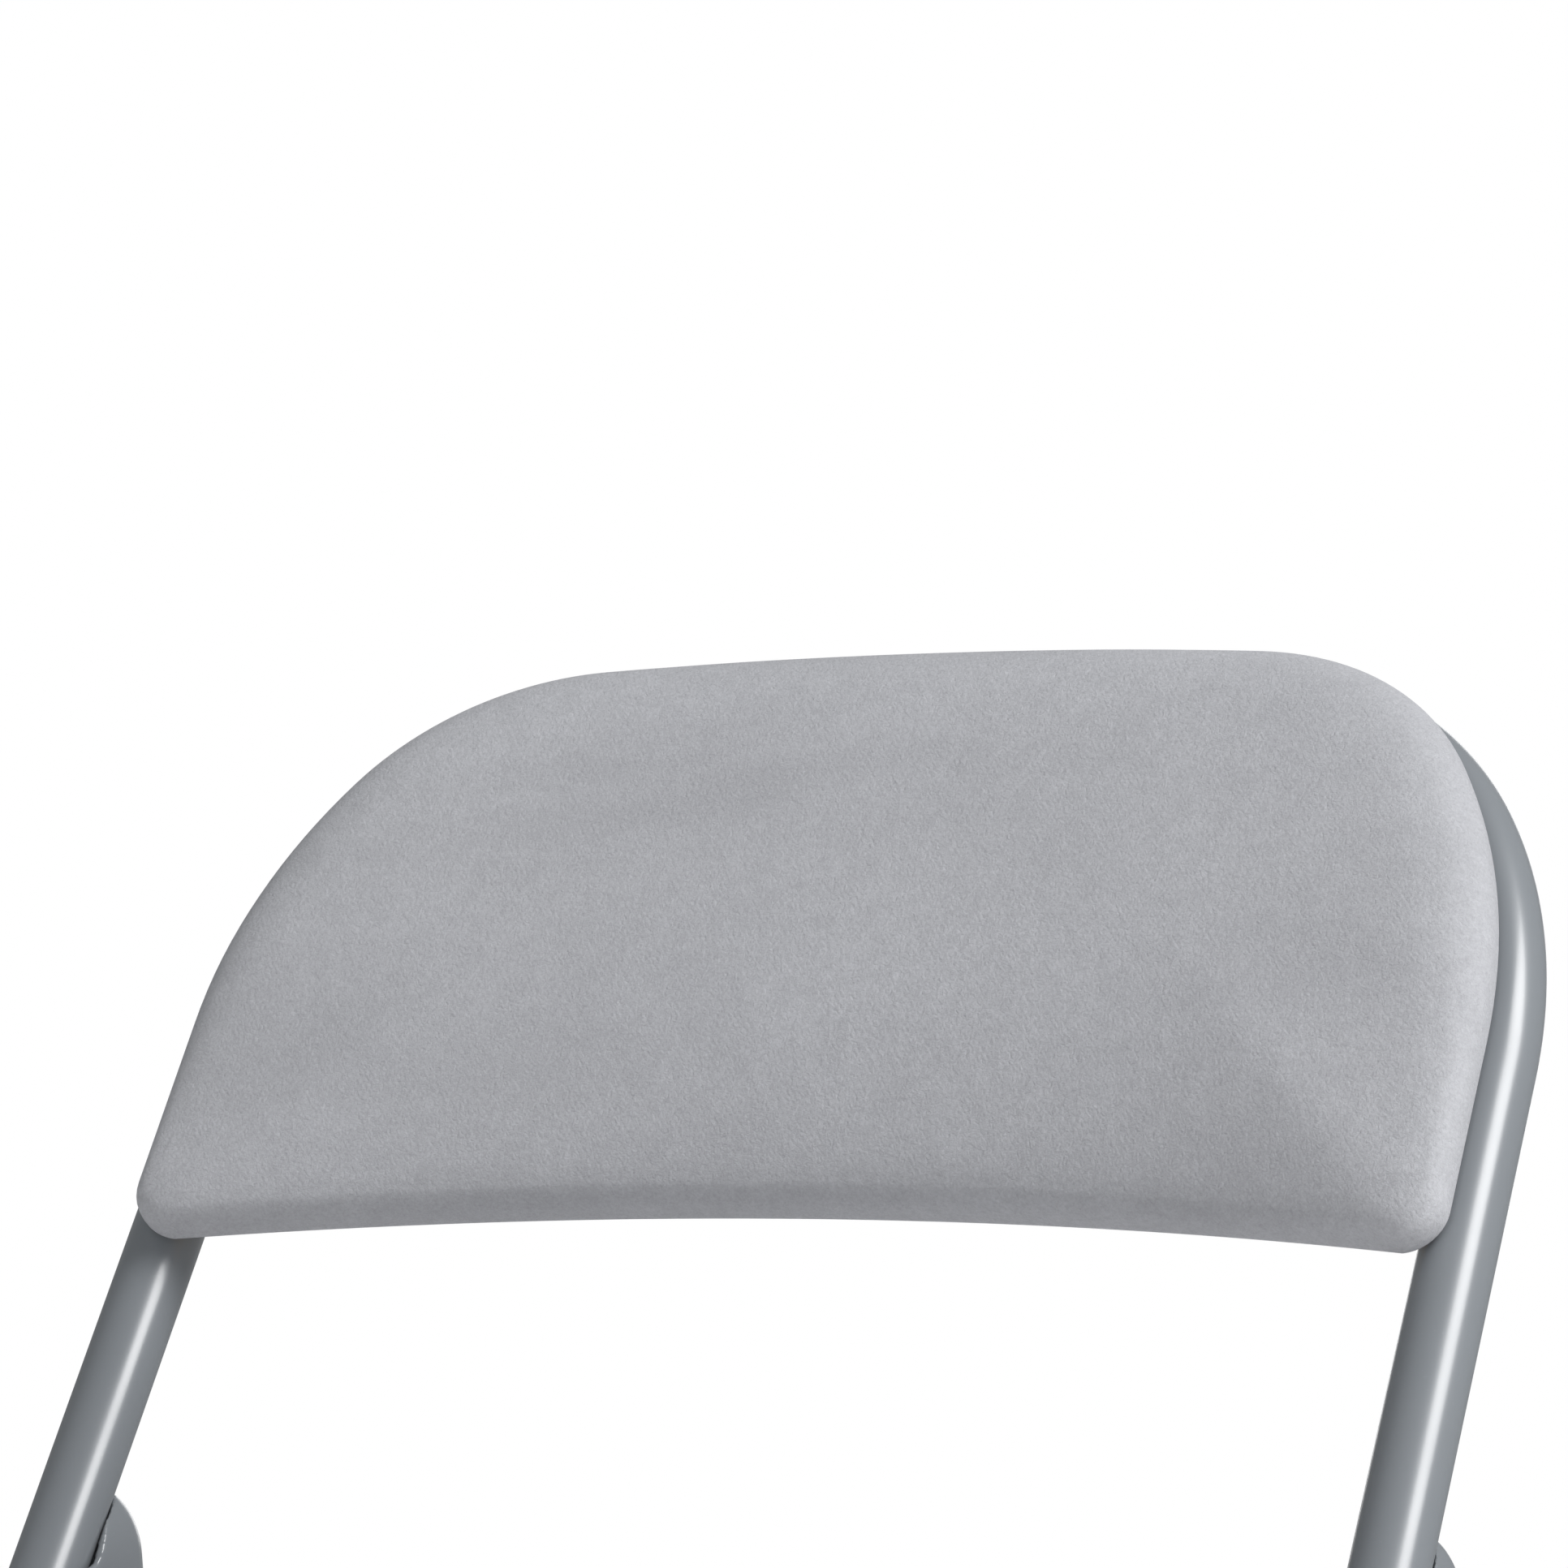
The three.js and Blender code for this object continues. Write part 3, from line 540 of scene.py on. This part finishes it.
front_frame()
stretcher("stretcher_front", 0, FRONT_STRETCHER, IN_FRAME, "front_assembly", "front_stretcher")
stretcher("stretcher_rear", LEG_OFFSET, REAR_STRETCHER, IN_LEGS, "rear_leg_assembly",
          "rear_stretcher")

# ---- rear legs ---------------------------------------------------------------------------

FLANK = 13.9                # half width of a saddle over its cheeks
SADDLE_DEPTH = 12.5         # leg centreline to the saddle's back
SHELL_T = 2.4
SADDLE_LOW = -62
FLARE_LOW = -84
DOME_START = 5
DOME_HIGH = 21
EAR_R = 7.5                 # round the pivot
BLANK_REACH = 36            # the saddle is cut from a blank this far ahead of the tube's front
BLANK_SQUARE = 0.7          # how far the blank's front corners are squared
SWING_FIT = 0.35            # round the frame tube, which the saddle swings past
RIM_BEHIND = 4              # rim behind the frame tube's centre, chair open
HEAD_END = -106             # the saddle's mesh ends here, just inside the round tube
SADDLE_VOXEL = 0.7
LEG_CLEAR = 8               # bare tube's end above the floor, along the leg
LEG_FLOOR = -(leg_pivot.z / MM + LEG_OFFSET * math.sin(LEG_LEAN)) / math.cos(LEG_LEAN)
LEG_END = LEG_FLOOR + LEG_CLEAR


def beside_tube(behind, along):
    """A point seen from the frame tube, chair open, in the leg's own (y, z)."""
    return (
        behind * math.cos(LEG_SPREAD) + along * math.sin(LEG_SPREAD),
        along * math.cos(LEG_SPREAD) - behind * math.sin(LEG_SPREAD),
    )


def leg_side():
    """The leg seen from its side: a rim along the frame tube, and an ear round the pivot."""
    back, front = LEG_OFFSET + 40, LEG_OFFSET - TUBE_R
    ear = arc((0, 0), EAR_R, math.radians(60), math.radians(200), 24)
    neck = curve_through([ear[-1], (-4.5, -8), (6, -18), (16, -30), (front - 1, -40)], 6)
    return [
        (back, HEAD_END - 10), (back, 60),
        beside_tube(RIM_BEHIND, 70), beside_tube(RIM_BEHIND, 18), beside_tube(RIM_BEHIND - 0.6, 14),
        *ear, *neck[1:], (front - 1, HEAD_END - 10),
    ]


def leg_ring(z, share, inset=0, scale=1):
    """Section of the leg at a height: a round tube, wider with a flat front at the saddle."""
    half = (TUBE_R + (FLANK - TUBE_R) * share - inset) * scale
    rear = (TUBE_R + (SADDLE_DEPTH - TUBE_R) * share - inset) * scale
    front = TUBE_R + BLANK_REACH * share
    ring = []
    for c, s in circle(1, 96):
        squarer, depth = (1 - BLANK_SQUARE * share, front) if s < 0 else (1, rear)
        ring.append((
            half * math.copysign(abs(c) ** squarer, c),
            LEG_OFFSET + depth * math.copysign(abs(s) ** squarer, s),
            z,
        ))
    return ring


def dome_rings(inset):
    """Rings that close the saddle above the pivot like the end of an egg."""
    turns = [math.radians(degrees) for degrees in range(0, 88, 6)]
    return [
        leg_ring(DOME_START + (DOME_HIGH - inset) * math.sin(turn), 1, inset, math.cos(turn))
        for turn in turns
    ]


def saddle_mesh():
    """The formed top of a rear leg, cut from a solid and then rounded like pressed steel."""
    flare = []
    for i in range(9):
        t = i / 8
        flare.append(leg_ring(FLARE_LOW + (SADDLE_LOW - FLARE_LOW) * t, t * t * (3 - 2 * t)))
    under_skin, over_skin = 0.04, -0.03
    foot = [leg_ring(HEAD_END, 0, under_skin), leg_ring(HEAD_END + 12, 0, over_skin)]
    body = new_object("saddle", *skin([*foot, *flare, *dome_rings(0)]), IN_LEGS)
    carved(body, "INTERSECT", plate("side_tool", leg_side(), -40, 40, IN_LEGS))
    hollow = new_object(
        "hollow_tool", *skin([leg_ring(SADDLE_LOW + 6, 1, SHELL_T), *dome_rings(SHELL_T)]), IN_LEGS
    )
    inner = FLANK - SHELL_T
    throat = box_piece(
        "throat_tool", (-inner, -60, SADDLE_LOW + 6), (inner, LEG_OFFSET, DOME_START + 3), IN_LEGS
    )
    swings = []
    for angle in (LEG_SPREAD, LEG_FOLDED):
        rings = [[(c, s, up) for c, s in circle(TUBE_R + SWING_FIT, 64)] for up in (-140, 140)]
        swings.append(new_object(
            "swing_tool", *skin(rings), IN_LEGS @ Matrix.Rotation(-angle, 4, "X")
        ))
    carved(body, "DIFFERENCE", hollow, throat, *swings)
    modify(body, "REMESH", mode="VOXEL", voxel_size=SADDLE_VOXEL * MM)
    modify(body, "SMOOTH", factor=0.5, iterations=7)
    return body


def rear_legs():
    pattern = saddle_mesh()
    for name, side in LEFT_RIGHT:
        shift = Matrix.Translation((side * HALF_TRACK, 0, 0))
        saddle = copied(f"leg_saddle_{name}", pattern)
        saddle.data.transform(Matrix.Translation((side * HALF_TRACK * MM, 0, 0)))
        outside = [[(c, LEG_OFFSET + s, z) for c, s in circle(r, 72)]
                   for r, z in ((TUBE_R, LEG_END), (TUBE_R, HEAD_END + 5))]
        bore = [[(c, LEG_OFFSET + s, z) for c, s in circle(TUBE_R - TUBE_WALL, 72)]
                for z in (HEAD_END - 4, LEG_END)]
        tube = new_object(
            f"leg_tube_{name}", *skin([*outside, *bore], closed=True), IN_LEGS @ shift
        )
        for piece in (saddle, tube):
            dress(piece, paint, "grey_paint", "rear_leg_assembly", f"rear_leg_{name}")
    bpy.data.objects.remove(pattern)


rear_legs()

# ---- rivets, pins, bushes and screws -----------------------------------------------------

GAP = 0.3                   # between faces that meet
LEG_HEAD = FLANK + GAP
TUBE_HEAD = TUBE_R + GAP
BRACKET_IN = 18.9           # bracket's faces, counted inwards from the leg's centreline
BRACKET_OUT = 16.7


def dome(radius, height, at, way):
    """A low rounded head, from its rim to its middle."""
    return [
        (radius * math.cos(math.radians(a)), at + way * height * math.sin(math.radians(a)))
        for a in (0, 12, 25, 40, 55, 70, 82, 90)
    ]


def with_heads(inside, outside, middle=()):
    """A rivet's profile: head, shank with an optional collar, head."""
    return [
        *reversed(dome(HEAD_R, HEAD_T, inside - 0.3, -1)),
        (HEAD_R, inside), (RIVET_R, inside),
        *middle,
        (RIVET_R, outside), (HEAD_R, outside),
        *dome(HEAD_R, HEAD_T, outside + 0.3, 1),
    ]


def rivets():
    collar = [(RIVET_R, -BRACKET_OUT + GAP), (HEAD_R, -BRACKET_OUT + GAP),
              (HEAD_R, -TUBE_HEAD), (RIVET_R, -TUBE_HEAD)]
    kinds = (
        ("leg_pivot_rivet", with_heads(-LEG_HEAD, LEG_HEAD), IN_LEGS, 0, 0, "rear_leg_assembly"),
        ("guide_pin", with_heads(-BRACKET_IN - GAP, TUBE_HEAD, collar), IN_LEGS, LEG_OFFSET,
         -PIN_REACH, "rear_leg_assembly"),
        ("seat_pivot_rivet", with_heads(-BRACKET_IN - GAP, TUBE_HEAD), IN_FRAME, 0, SEAT_PIVOT,
         "front_assembly"),
    )
    for kind, profile, place, y, z, body in kinds:
        for name, side in LEFT_RIGHT:
            turned = [(radius, side * x) for radius, x in profile]
            piece = lathe(
                f"round_{kind}_{name}", turned,
                place @ Matrix.Translation((side * HALF_TRACK, y, z)),
            )
            dress(piece, steel, "zinc_steel", body, f"{kind}_{name}")


def bushes():
    """Moulded spacers with a rounded rim, between the tube and the seat bracket."""
    inner, outer = BRACKET_OUT - GAP, TUBE_HEAD
    rim = [(6.0, inner), (6.4, inner - 0.2), (6.5, inner - 0.6), (6.5, outer + 0.6),
           (6.4, outer + 0.2), (6.0, outer), (3.4, outer), (3.4, inner)]
    for name, side in LEFT_RIGHT:
        rings = [[(-side * x, c, s) for c, s in circle(r, 40)] for r, x in rim]
        piece = new_object(
            f"bush_{name}", *skin(rings, closed=True),
            IN_FRAME @ Matrix.Translation((side * HALF_TRACK, 0, SEAT_PIVOT)),
        )
        dress(piece, rubber, "grey_rubber", "front_assembly", f"seat_pivot_bush_{name}")


SCREW_R = 2.4
SCREW_HEAD_R = 4.5
SCREW_HEAD_T = 2.3
SCREW_PITCH = 1.4
THREAD_DEPTH = 0.35
SHEET_T = 2.2               # steel tabs and bracket flanges
PANEL_T = 8
BACK_SCREWS = (("lower", 183, PAD_LOW + 40), ("upper", 62, PAD_LOW + 189))
SEAT_SCREWS = (("front", -46), ("middle", 22), ("rear", 90))
SEAT_SCREW_X = 175


def screw(name, place, length, body, node):
    """A pan-head screw along X, its head at the origin with a cross recess, threaded below."""
    thread = []
    turns = int((length - 2.5) / SCREW_PITCH)
    for i in range(turns):
        root = -1.2 - i * SCREW_PITCH
        thread += [(SCREW_R - THREAD_DEPTH, root), (SCREW_R, root - SCREW_PITCH * 0.5)]
    profile = [
        *reversed(dome(SCREW_HEAD_R - 0.3, SCREW_HEAD_T - 0.3, 0.3, 1)),
        (SCREW_HEAD_R, 0.25), (SCREW_HEAD_R, 0), (SCREW_R - THREAD_DEPTH, 0),
        *thread,
        (0.6, -length),
    ]
    piece = lathe(name, profile, place, 32)
    for y, z in ((2.3, 0.45), (0.45, 2.3)):
        carved(piece, "DIFFERENCE", box_piece("recess_tool", (1.0, -y, -z), (4, y, z), place))
    dress(piece, steel, "zinc_steel", body, node)


def screws():
    """Four screws through the tabs into the back panel, and six up into the seat board."""
    behind = 2 * GAP + SHEET_T
    for row, x, z in BACK_SCREWS:
        for name, side in LEFT_RIGHT:
            turn = math.atan2(-2 * BACK_DEPTH * side * x, HALF_TRACK**2)
            place = (
                IN_FRAME
                @ Matrix.Translation((side * x, BACK_FACE + back_curve(x), z))
                @ Matrix.Rotation(turn + math.pi / 2, 4, "Z")
                @ Matrix.Translation((behind, 0, 0))
            )
            screw(f"screw_back_{row}_{name}", place, behind + PANEL_T - 1, "front_assembly",
                  f"backrest_screw_{row}_{name}")
    for row, y in SEAT_SCREWS:
        for name, side in LEFT_RIGHT:
            place = (
                IN_SEAT
                @ Matrix.Translation((side * SEAT_SCREW_X, y, BOARD_LOW - behind))
                @ Matrix.Rotation(math.pi / 2, 4, "Y")
            )
            screw(f"screw_seat_{row}_{name}", place, BOARD_T + 1.8, "seat_assembly",
                  f"seat_screw_{row}_{name}")


rivets()
bushes()
screws()

# ---- foot caps ---------------------------------------------------------------------------

CAP_R = 13.8
CAP_HIGH = 36


def foot_cap(name, side, lean, tube_end, place, body, node):
    """A moulded cap over a leaning tube end: level sole, rounded edges, two shallow grooves."""
    up = math.tan(lean)
    outer = [(CAP_R - 2.2, 0), (CAP_R - 0.7, 0.35), (CAP_R, 1.6)]
    wall = [
        (CAP_R, 12), (CAP_R, 13.6), (CAP_R - 0.6, 14), (CAP_R - 0.6, 15.2), (CAP_R, 15.6),
        (CAP_R, 19.6), (CAP_R - 0.6, 20), (CAP_R - 0.6, 21.2), (CAP_R, 21.6),
        (CAP_R - 0.1, CAP_HIGH - 1.2), (CAP_R - 0.5, CAP_HIGH - 0.3), (CAP_R - 1.2, CAP_HIGH),
        (TUBE_R + 0.5, CAP_HIGH), (TUBE_R + 0.15, CAP_HIGH - 0.5), (TUBE_R + 0.15, tube_end),
    ]
    rings = [[(c, s, z - s * up) for c, s in circle(r, 64)] for r, z in outer]
    rings += [[(c, s, z) for c, s in circle(r, 64)] for r, z in wall]
    piece = new_object(name, *skin(rings), place @ Matrix.Translation((side * HALF_TRACK, 0, 0)))
    dress(piece, rubber, "grey_rubber", body, node)


for side_name, side_sign in LEFT_RIGHT:
    foot_cap(f"cap_front_{side_name}", side_sign, -RECLINE, FRAME_END - 0.1, IN_FRAME,
             "front_assembly", f"front_foot_cap_{side_name}")
    foot_cap(f"cap_rear_{side_name}", side_sign, LEG_LEAN, LEG_CLEAR - 0.1,
             IN_LEGS @ Matrix.Translation((0, LEG_OFFSET, LEG_FLOOR)),
             "rear_leg_assembly", f"rear_foot_cap_{side_name}")

# ---- sheet-metal and wooden parts --------------------------------------------------------


def softened(name, node, material, slot, body, width):
    """The CAD part with its flat faces merged and its edges rounded."""
    piece = copied(name, frame["nodes"][node])
    edit = bmesh.new()
    edit.from_mesh(piece.data)
    bmesh.ops.remove_doubles(edit, verts=edit.verts, dist=1e-5)
    bmesh.ops.dissolve_limit(
        edit, angle_limit=math.radians(1), verts=edit.verts, edges=edit.edges
    )
    edit.to_mesh(piece.data)
    edit.free()
    modify(piece, "BEVEL", width=width * MM, segments=3, limit_method="ANGLE",
           angle_limit=math.radians(40), use_clamp_overlap=True)
    dress(piece, material, slot, body, node, angle=50)


for side_name, _ in LEFT_RIGHT:
    softened(f"bracket_{side_name}", f"seat_bracket_{side_name}", paint, "grey_paint",
             "seat_assembly", 0.5)
    for row_name in ("lower", "upper"):
        softened(f"tab_{row_name}_{side_name}", f"backrest_tab_{row_name}_{side_name}", paint,
                 "grey_paint", "front_assembly", 0.5)
softened("back_board", "backrest_panel", panel_wood, "plywood", "front_assembly", 0.6)
softened("seat_board_ply", "seat_board", board_wood, "plywood", "seat_assembly", 0.9)

# ---- cushions ----------------------------------------------------------------------------

PAD_HALF_WIDTH = 207
PAD_ARCH = 20
PAD_CORNER_R = 12
PAD_SIDE_R = 198
PAD_SIDE_ANGLE = math.radians(29)
PAD_SHOULDER_R = 98
PAD_SHOULDER_ANGLE = math.radians(82)
PANEL_INSET = 4
SEAT_HALF_WIDTH = 185.5
SEAT_REAR = 135
SEAT_FRONT = -235
SEAT_FRONT_R = 62
SEAT_REAR_R = 45
BOARD_INSET = 4.5
CLOTH_FRAMES = 15
HELD_BLEND = 8              # height over which the swelling of a pad sets in
LOWER_START = 0.1           # shares of a pad's half height, from its middle downwards
LOWER_SPAN = 0.7


def back_outline():
    """The backrest seen square on: arched below, straight sides, big shoulders, slight crown."""
    low = PAD_LOW - 9
    arch_end = PAD_HALF_WIDTH - PAD_CORNER_R
    arch = [(arch_end * i / 24, low + PAD_ARCH * (1 - (i / 24) ** 2)) for i in range(24)]
    side_start = (PAD_HALF_WIDTH - PAD_SIDE_R, BOW_START)
    step = PAD_SIDE_R - PAD_SHOULDER_R
    shoulder = (
        side_start[0] + step * math.cos(PAD_SIDE_ANGLE),
        side_start[1] + step * math.sin(PAD_SIDE_ANGLE),
    )
    shoulders = arc(shoulder, PAD_SHOULDER_R, PAD_SIDE_ANGLE, PAD_SHOULDER_ANGLE, 24)
    crown_x, crown_z = shoulders[-1]
    crown_r = crown_x / math.cos(PAD_SHOULDER_ANGLE)
    crown_centre = (0, crown_z - crown_r * math.sin(PAD_SHOULDER_ANGLE))
    return mirrored([
        *arch,
        *arc((arch_end, low + PAD_CORNER_R), PAD_CORNER_R, -math.pi / 2, 0, 10),
        *arc(side_start, PAD_SIDE_R, 0, PAD_SIDE_ANGLE, 16),
        *shoulders[1:],
        *arc(crown_centre, crown_r, PAD_SHOULDER_ANGLE, math.pi / 2, 10)[1:],
    ])


def seat_outline():
    front = (SEAT_HALF_WIDTH - SEAT_FRONT_R, SEAT_FRONT + SEAT_FRONT_R)
    rear = (SEAT_HALF_WIDTH - SEAT_REAR_R, SEAT_REAR - SEAT_REAR_R)
    return mirrored([
        (0, SEAT_FRONT),
        *arc(front, SEAT_FRONT_R, -math.pi / 2, 0, 20),
        *arc(rear, SEAT_REAR_R, 0, math.pi / 2, 16),
        (0, SEAT_REAR),
    ])


def on_back(x, z, height):
    return (x, BACK_FACE + back_curve(x) - height, z)


def on_seat(x, y, height):
    return (x, y, BOARD_LOW + height)


def layered(name, outline, layers, on, place, lower=None):
    """A closed form: the outline shrunk by each layer's inset, at each layer's height.

    Towards the lower edge the layers of lower take over, if there are any.
    """
    low_x, low_y = np.min(outline, axis=0)
    high_x, high_y = np.max(outline, axis=0)
    centre = (low_y + high_y) / 2
    half_width, half_length = (high_x - low_x) / 2, (high_y - low_y) / 2
    rings = []
    for layer, low_layer in zip(np.array(layers), np.array(lower or layers)):
        ring = []
        for x, y in outline:
            below = np.clip(((centre - y) / half_length - LOWER_START) / LOWER_SPAN, 0, 1)
            inset, height = layer + (low_layer - layer) * below**2 * (3 - 2 * below)
            ring.append(on(
                x * (1 - inset / half_width), centre + (y - centre) * (1 - inset / half_length),
                height,
            ))
        rings.append(ring)
    made = new_object(name, *skin(rings), place)
    modify(made, "TRIANGULATE")
    return made


def swelling(form, voxel, pressure):
    """Where the cloth simulation carries a form's surface when the foam swells against it."""
    proxy = copied("swelling", form)
    modify(proxy, "REMESH", mode="VOXEL", voxel_size=voxel * MM)
    rest = np.array([v.co for v in proxy.data.vertices])
    cloth = proxy.modifiers.new("cloth", "CLOTH")
    cloth.settings.quality = 5
    cloth.settings.mass = 0.3
    cloth.settings.tension_stiffness = 15
    cloth.settings.bending_stiffness = 0.6
    cloth.settings.use_pressure = True
    cloth.settings.uniform_pressure_force = pressure
    cloth.settings.effector_weights.gravity = 0
    scene = bpy.context.scene
    for number in range(1, CLOTH_FRAMES + 1):
        scene.frame_set(number)
    graph = bpy.context.evaluated_depsgraph_get()
    moved = np.array([v.co for v in proxy.evaluated_get(graph).data.vertices]) - rest
    scene.frame_set(1)
    bpy.data.objects.remove(proxy)
    return rest, moved


def inflate(form, held, swell, voxel, pressure):
    """Moves a form by the simulated swelling, evened out; held(point) is 1 where it stays."""
    rest, moved = swelling(form, voxel, pressure)
    tree = KDTree(len(rest))
    for index, point in enumerate(rest):
        tree.insert(point, index)
    tree.balance()
    reach = 4 * voxel * MM
    shifts = []
    for vertex in form.data.vertices:
        near = tree.find_range(vertex.co, reach)
        weights = np.array([(1 - distance / reach) ** 2 for _, _, distance in near])
        mean = weights @ moved[[index for _, index, _ in near]] / weights.sum()
        shifts.append(mean * (1 - held(vertex.co)))
    shifts = np.array(shifts)
    shifts *= swell * MM / np.percentile(np.linalg.norm(shifts, axis=1), 98)
    points = np.array([v.co for v in form.data.vertices]) + shifts
    form.data.vertices.foreach_set("co", points.ravel())


def pad(name, outline, layers, on, place, pocket, voxel, swell, pressure, held_to, lower=None):
    """A foam pad under velvet: lofted, swollen against its cover, and hollowed for its board."""
    made = layered(name, outline, layers, on, place, lower)
    back = place.inverted()

    def held(point):
        x, y, z = back @ point
        height = (BACK_FACE + back_curve(x) - y) if on is on_back else z - BOARD_LOW
        return float(np.clip(1 - (height - held_to) / HELD_BLEND, 0, 1))

    inflate(made, held, swell, voxel, pressure)
    return carved(made, "DIFFERENCE", layered("pocket_tool", outline, pocket, on, place))


FILL = (20, 40, 60, 80, 92)  # inner rings of faces that follow the curved back


def backrest():
    under = [(inset, 0.4) for inset in reversed(FILL)]
    edge = curve_through(
        [(3.2, 0.4), (0.9, 1.4), (0.1, 4), (0.2, 9), (1.9, 13.6), (5.8, 17.8), (12.5, 21.2),
         (24, 23.6), (45, 24.8), (70, 25.2), (96, 25.3)],
        6,
    )
    thin_edge = curve_through(
        [(3.2, 0.4), (0.9, 1.2), (0.1, 3), (0.1, 7), (0.9, 10.6), (2.8, 13.2), (6, 14.9),
         (14, 16.8), (38, 20.2), (68, 23.6), (96, 25.3)],
        6,
    )
    pocket = [
        *[(PANEL_INSET + inset, -2) for inset in reversed(FILL)],
        (PANEL_INSET - GAP, -2), (PANEL_INSET - GAP, PANEL_T + GAP),
        *[(PANEL_INSET + inset, PANEL_T + GAP) for inset in FILL],
    ]
    cushion = pad("back_pad", back_outline(), [*under, *edge], on_back, IN_FRAME, pocket,
                  voxel=5, swell=2.2, pressure=1.5, held_to=9,
                  lower=[*under, *thin_edge])
    dress(cushion, velvet, "grey_velvet", "front_assembly", "backrest_cushion", angle=60)


def seat_pad():
    edge = curve_through(
        [(3.2, 0.4), (0.9, 1.6), (0.2, 6), (0.2, 13), (1.8, 20.5), (6, 26.5), (13.5, 31),
         (26, 34.2), (50, 36), (90, 36.8), (130, 37), (181, 37)],
        6,
    )
    inset = BOARD_INSET - GAP
    pocket = [(inset, -4), (inset, BOARD_T + GAP)]
    cushion = pad("seat_pad", seat_outline(), edge, on_seat, IN_SEAT, pocket,
                  voxel=8, swell=5, pressure=1.5, held_to=14)
    dress(cushion, velvet, "grey_velvet", "seat_assembly", "seat_cushion", angle=60)


backrest()
seat_pad()

# ---- dust cover --------------------------------------------------------------------------

COVER_HALF_WIDTH = 155
COVER_FRONT = SEAT_FRONT + 20
COVER_REAR = SEAT_REAR - 20
COVER_TOP = BOARD_LOW - 0.35
COVER_T = 0.6
COVER_WAVE = 0.22
COVER_WAVE_BAND = 0.08      # share of the cover, in from its edges, where the waves die away


def dust_cover():
    """Thin lining stretched under the seat board, with small waves along its stapled edges."""
    columns, rows = 62, 66

    def sheet_points(drop):
        points = []
        for j in range(rows + 1):
            for i in range(columns + 1):
                u, v = i / columns, j / rows
                edge = min(u, 1 - u, v, 1 - v)
                wave = COVER_WAVE * math.sin(52 * u + 3 * v) * math.sin(47 * v + 2 * u)
                ripple = wave * math.exp(-(edge / COVER_WAVE_BAND) ** 2)
                points.append((
                    COVER_HALF_WIDTH * (2 * u - 1),
                    COVER_FRONT + (COVER_REAR - COVER_FRONT) * v,
                    COVER_TOP - 0.25 + ripple - drop,
                ))
        return points

    count = (columns + 1) * (rows + 1)
    faces = []
    for j in range(rows):
        for i in range(columns):
            a = j * (columns + 1) + i
            quad = (a, a + 1, a + columns + 2, a + columns + 1)
            faces.append(quad)
            faces.append(tuple(count + k for k in reversed(quad)))
    rim = [
        *range(columns),
        *[columns + j * (columns + 1) for j in range(rows)],
        *[rows * (columns + 1) + i for i in range(columns, 0, -1)],
        *[j * (columns + 1) for j in range(rows, 0, -1)],
    ]
    for k, a in enumerate(rim):
        b = rim[(k + 1) % len(rim)]
        faces.append((b, a, count + a, count + b))
    points = [*sheet_points(0), *sheet_points(COVER_T)]
    cover = new_object("lining_sheet", points, faces, IN_SEAT)
    dress(cover, lining, "black_lining", "seat_assembly", "seat_dust_cover")


dust_cover()

# ---- studio ------------------------------------------------------------------------------


def softbox(name, at, aim, width, height, watts):
    light = bpy.data.lights.new(name, "AREA")
    light.shape = "RECTANGLE"
    light.size = width
    light.size_y = height
    light.energy = watts
    lamp = bpy.data.objects.new(name, light)
    lamp.location = at
    lamp.rotation_euler = (Vector(aim) - Vector(at)).to_track_quat("-Z", "Y").to_euler()
    bpy.context.scene.collection.objects.link(lamp)


# name, place, aim, width, height, power in watts
SOFTBOXES = (
    ("key", (1.72, -0.33, 2.28), (0, 0.05, 0.65), 1.05, 1.5, 73),
    ("front", (0.3, -2.6, 1.1), (0, 0.1, 0.6), 1.8, 1.2, 10),
    ("low", (0.4, -1.5, 0.12), (0, 0.1, 0.62), 1.6, 0.7, 5),
    ("rear", (-0.9, 2.4, 1.5), (0, 0, 0.5), 1.6, 1.2, 12),
)
FLOOR_HALF = 6              # metres


def studio():
    for box in SOFTBOXES:
        softbox(*box)

    world = bpy.data.worlds.new("white_studio")
    world.use_nodes = True
    tree = world.node_tree
    shown = tree.nodes["Background"]
    shown.inputs["Color"].default_value = (1, 1, 1, 1)
    shown.inputs["Strength"].default_value = 1.0
    ambient = tree.nodes.new("ShaderNodeBackground")
    ambient.inputs["Color"].default_value = (0.96, 0.985, 1, 1)
    ambient.inputs["Strength"].default_value = 0.23
    seen = tree.nodes.new("ShaderNodeLightPath")
    mix = tree.nodes.new("ShaderNodeMixShader")
    tree.links.new(seen.outputs["Is Camera Ray"], mix.inputs[0])
    tree.links.new(ambient.outputs[0], mix.inputs[1])
    tree.links.new(shown.outputs[0], mix.inputs[2])
    tree.links.new(mix.outputs[0], tree.nodes["World Output"].inputs["Surface"])
    bpy.context.scene.world = world
    bpy.context.scene.view_settings.view_transform = "Standard"

    signs = ((-1, -1), (1, -1), (1, 1), (-1, 1))
    corners = [(x * FLOOR_HALF, y * FLOOR_HALF, 0) for x, y in signs]
    floor = new_object("floor", corners, [(0, 1, 2, 3)], Matrix.Identity(4))
    pale = Shader("pale_floor", Specular_IOR_Level=0.2)
    pale.colour(pale.mixed(pale.noise(3, detail=3), grey(0.78), grey(0.82)))
    pale.roughness(pale.spread(pale.noise(40, detail=3), 0.7, 0.85))
    pale.surface.inputs["Emission Color"].default_value = (1, 1, 1, 1)
    pale.surface.inputs["Emission Strength"].default_value = 0.4
    floor.data.materials.append(pale.material)


studio()
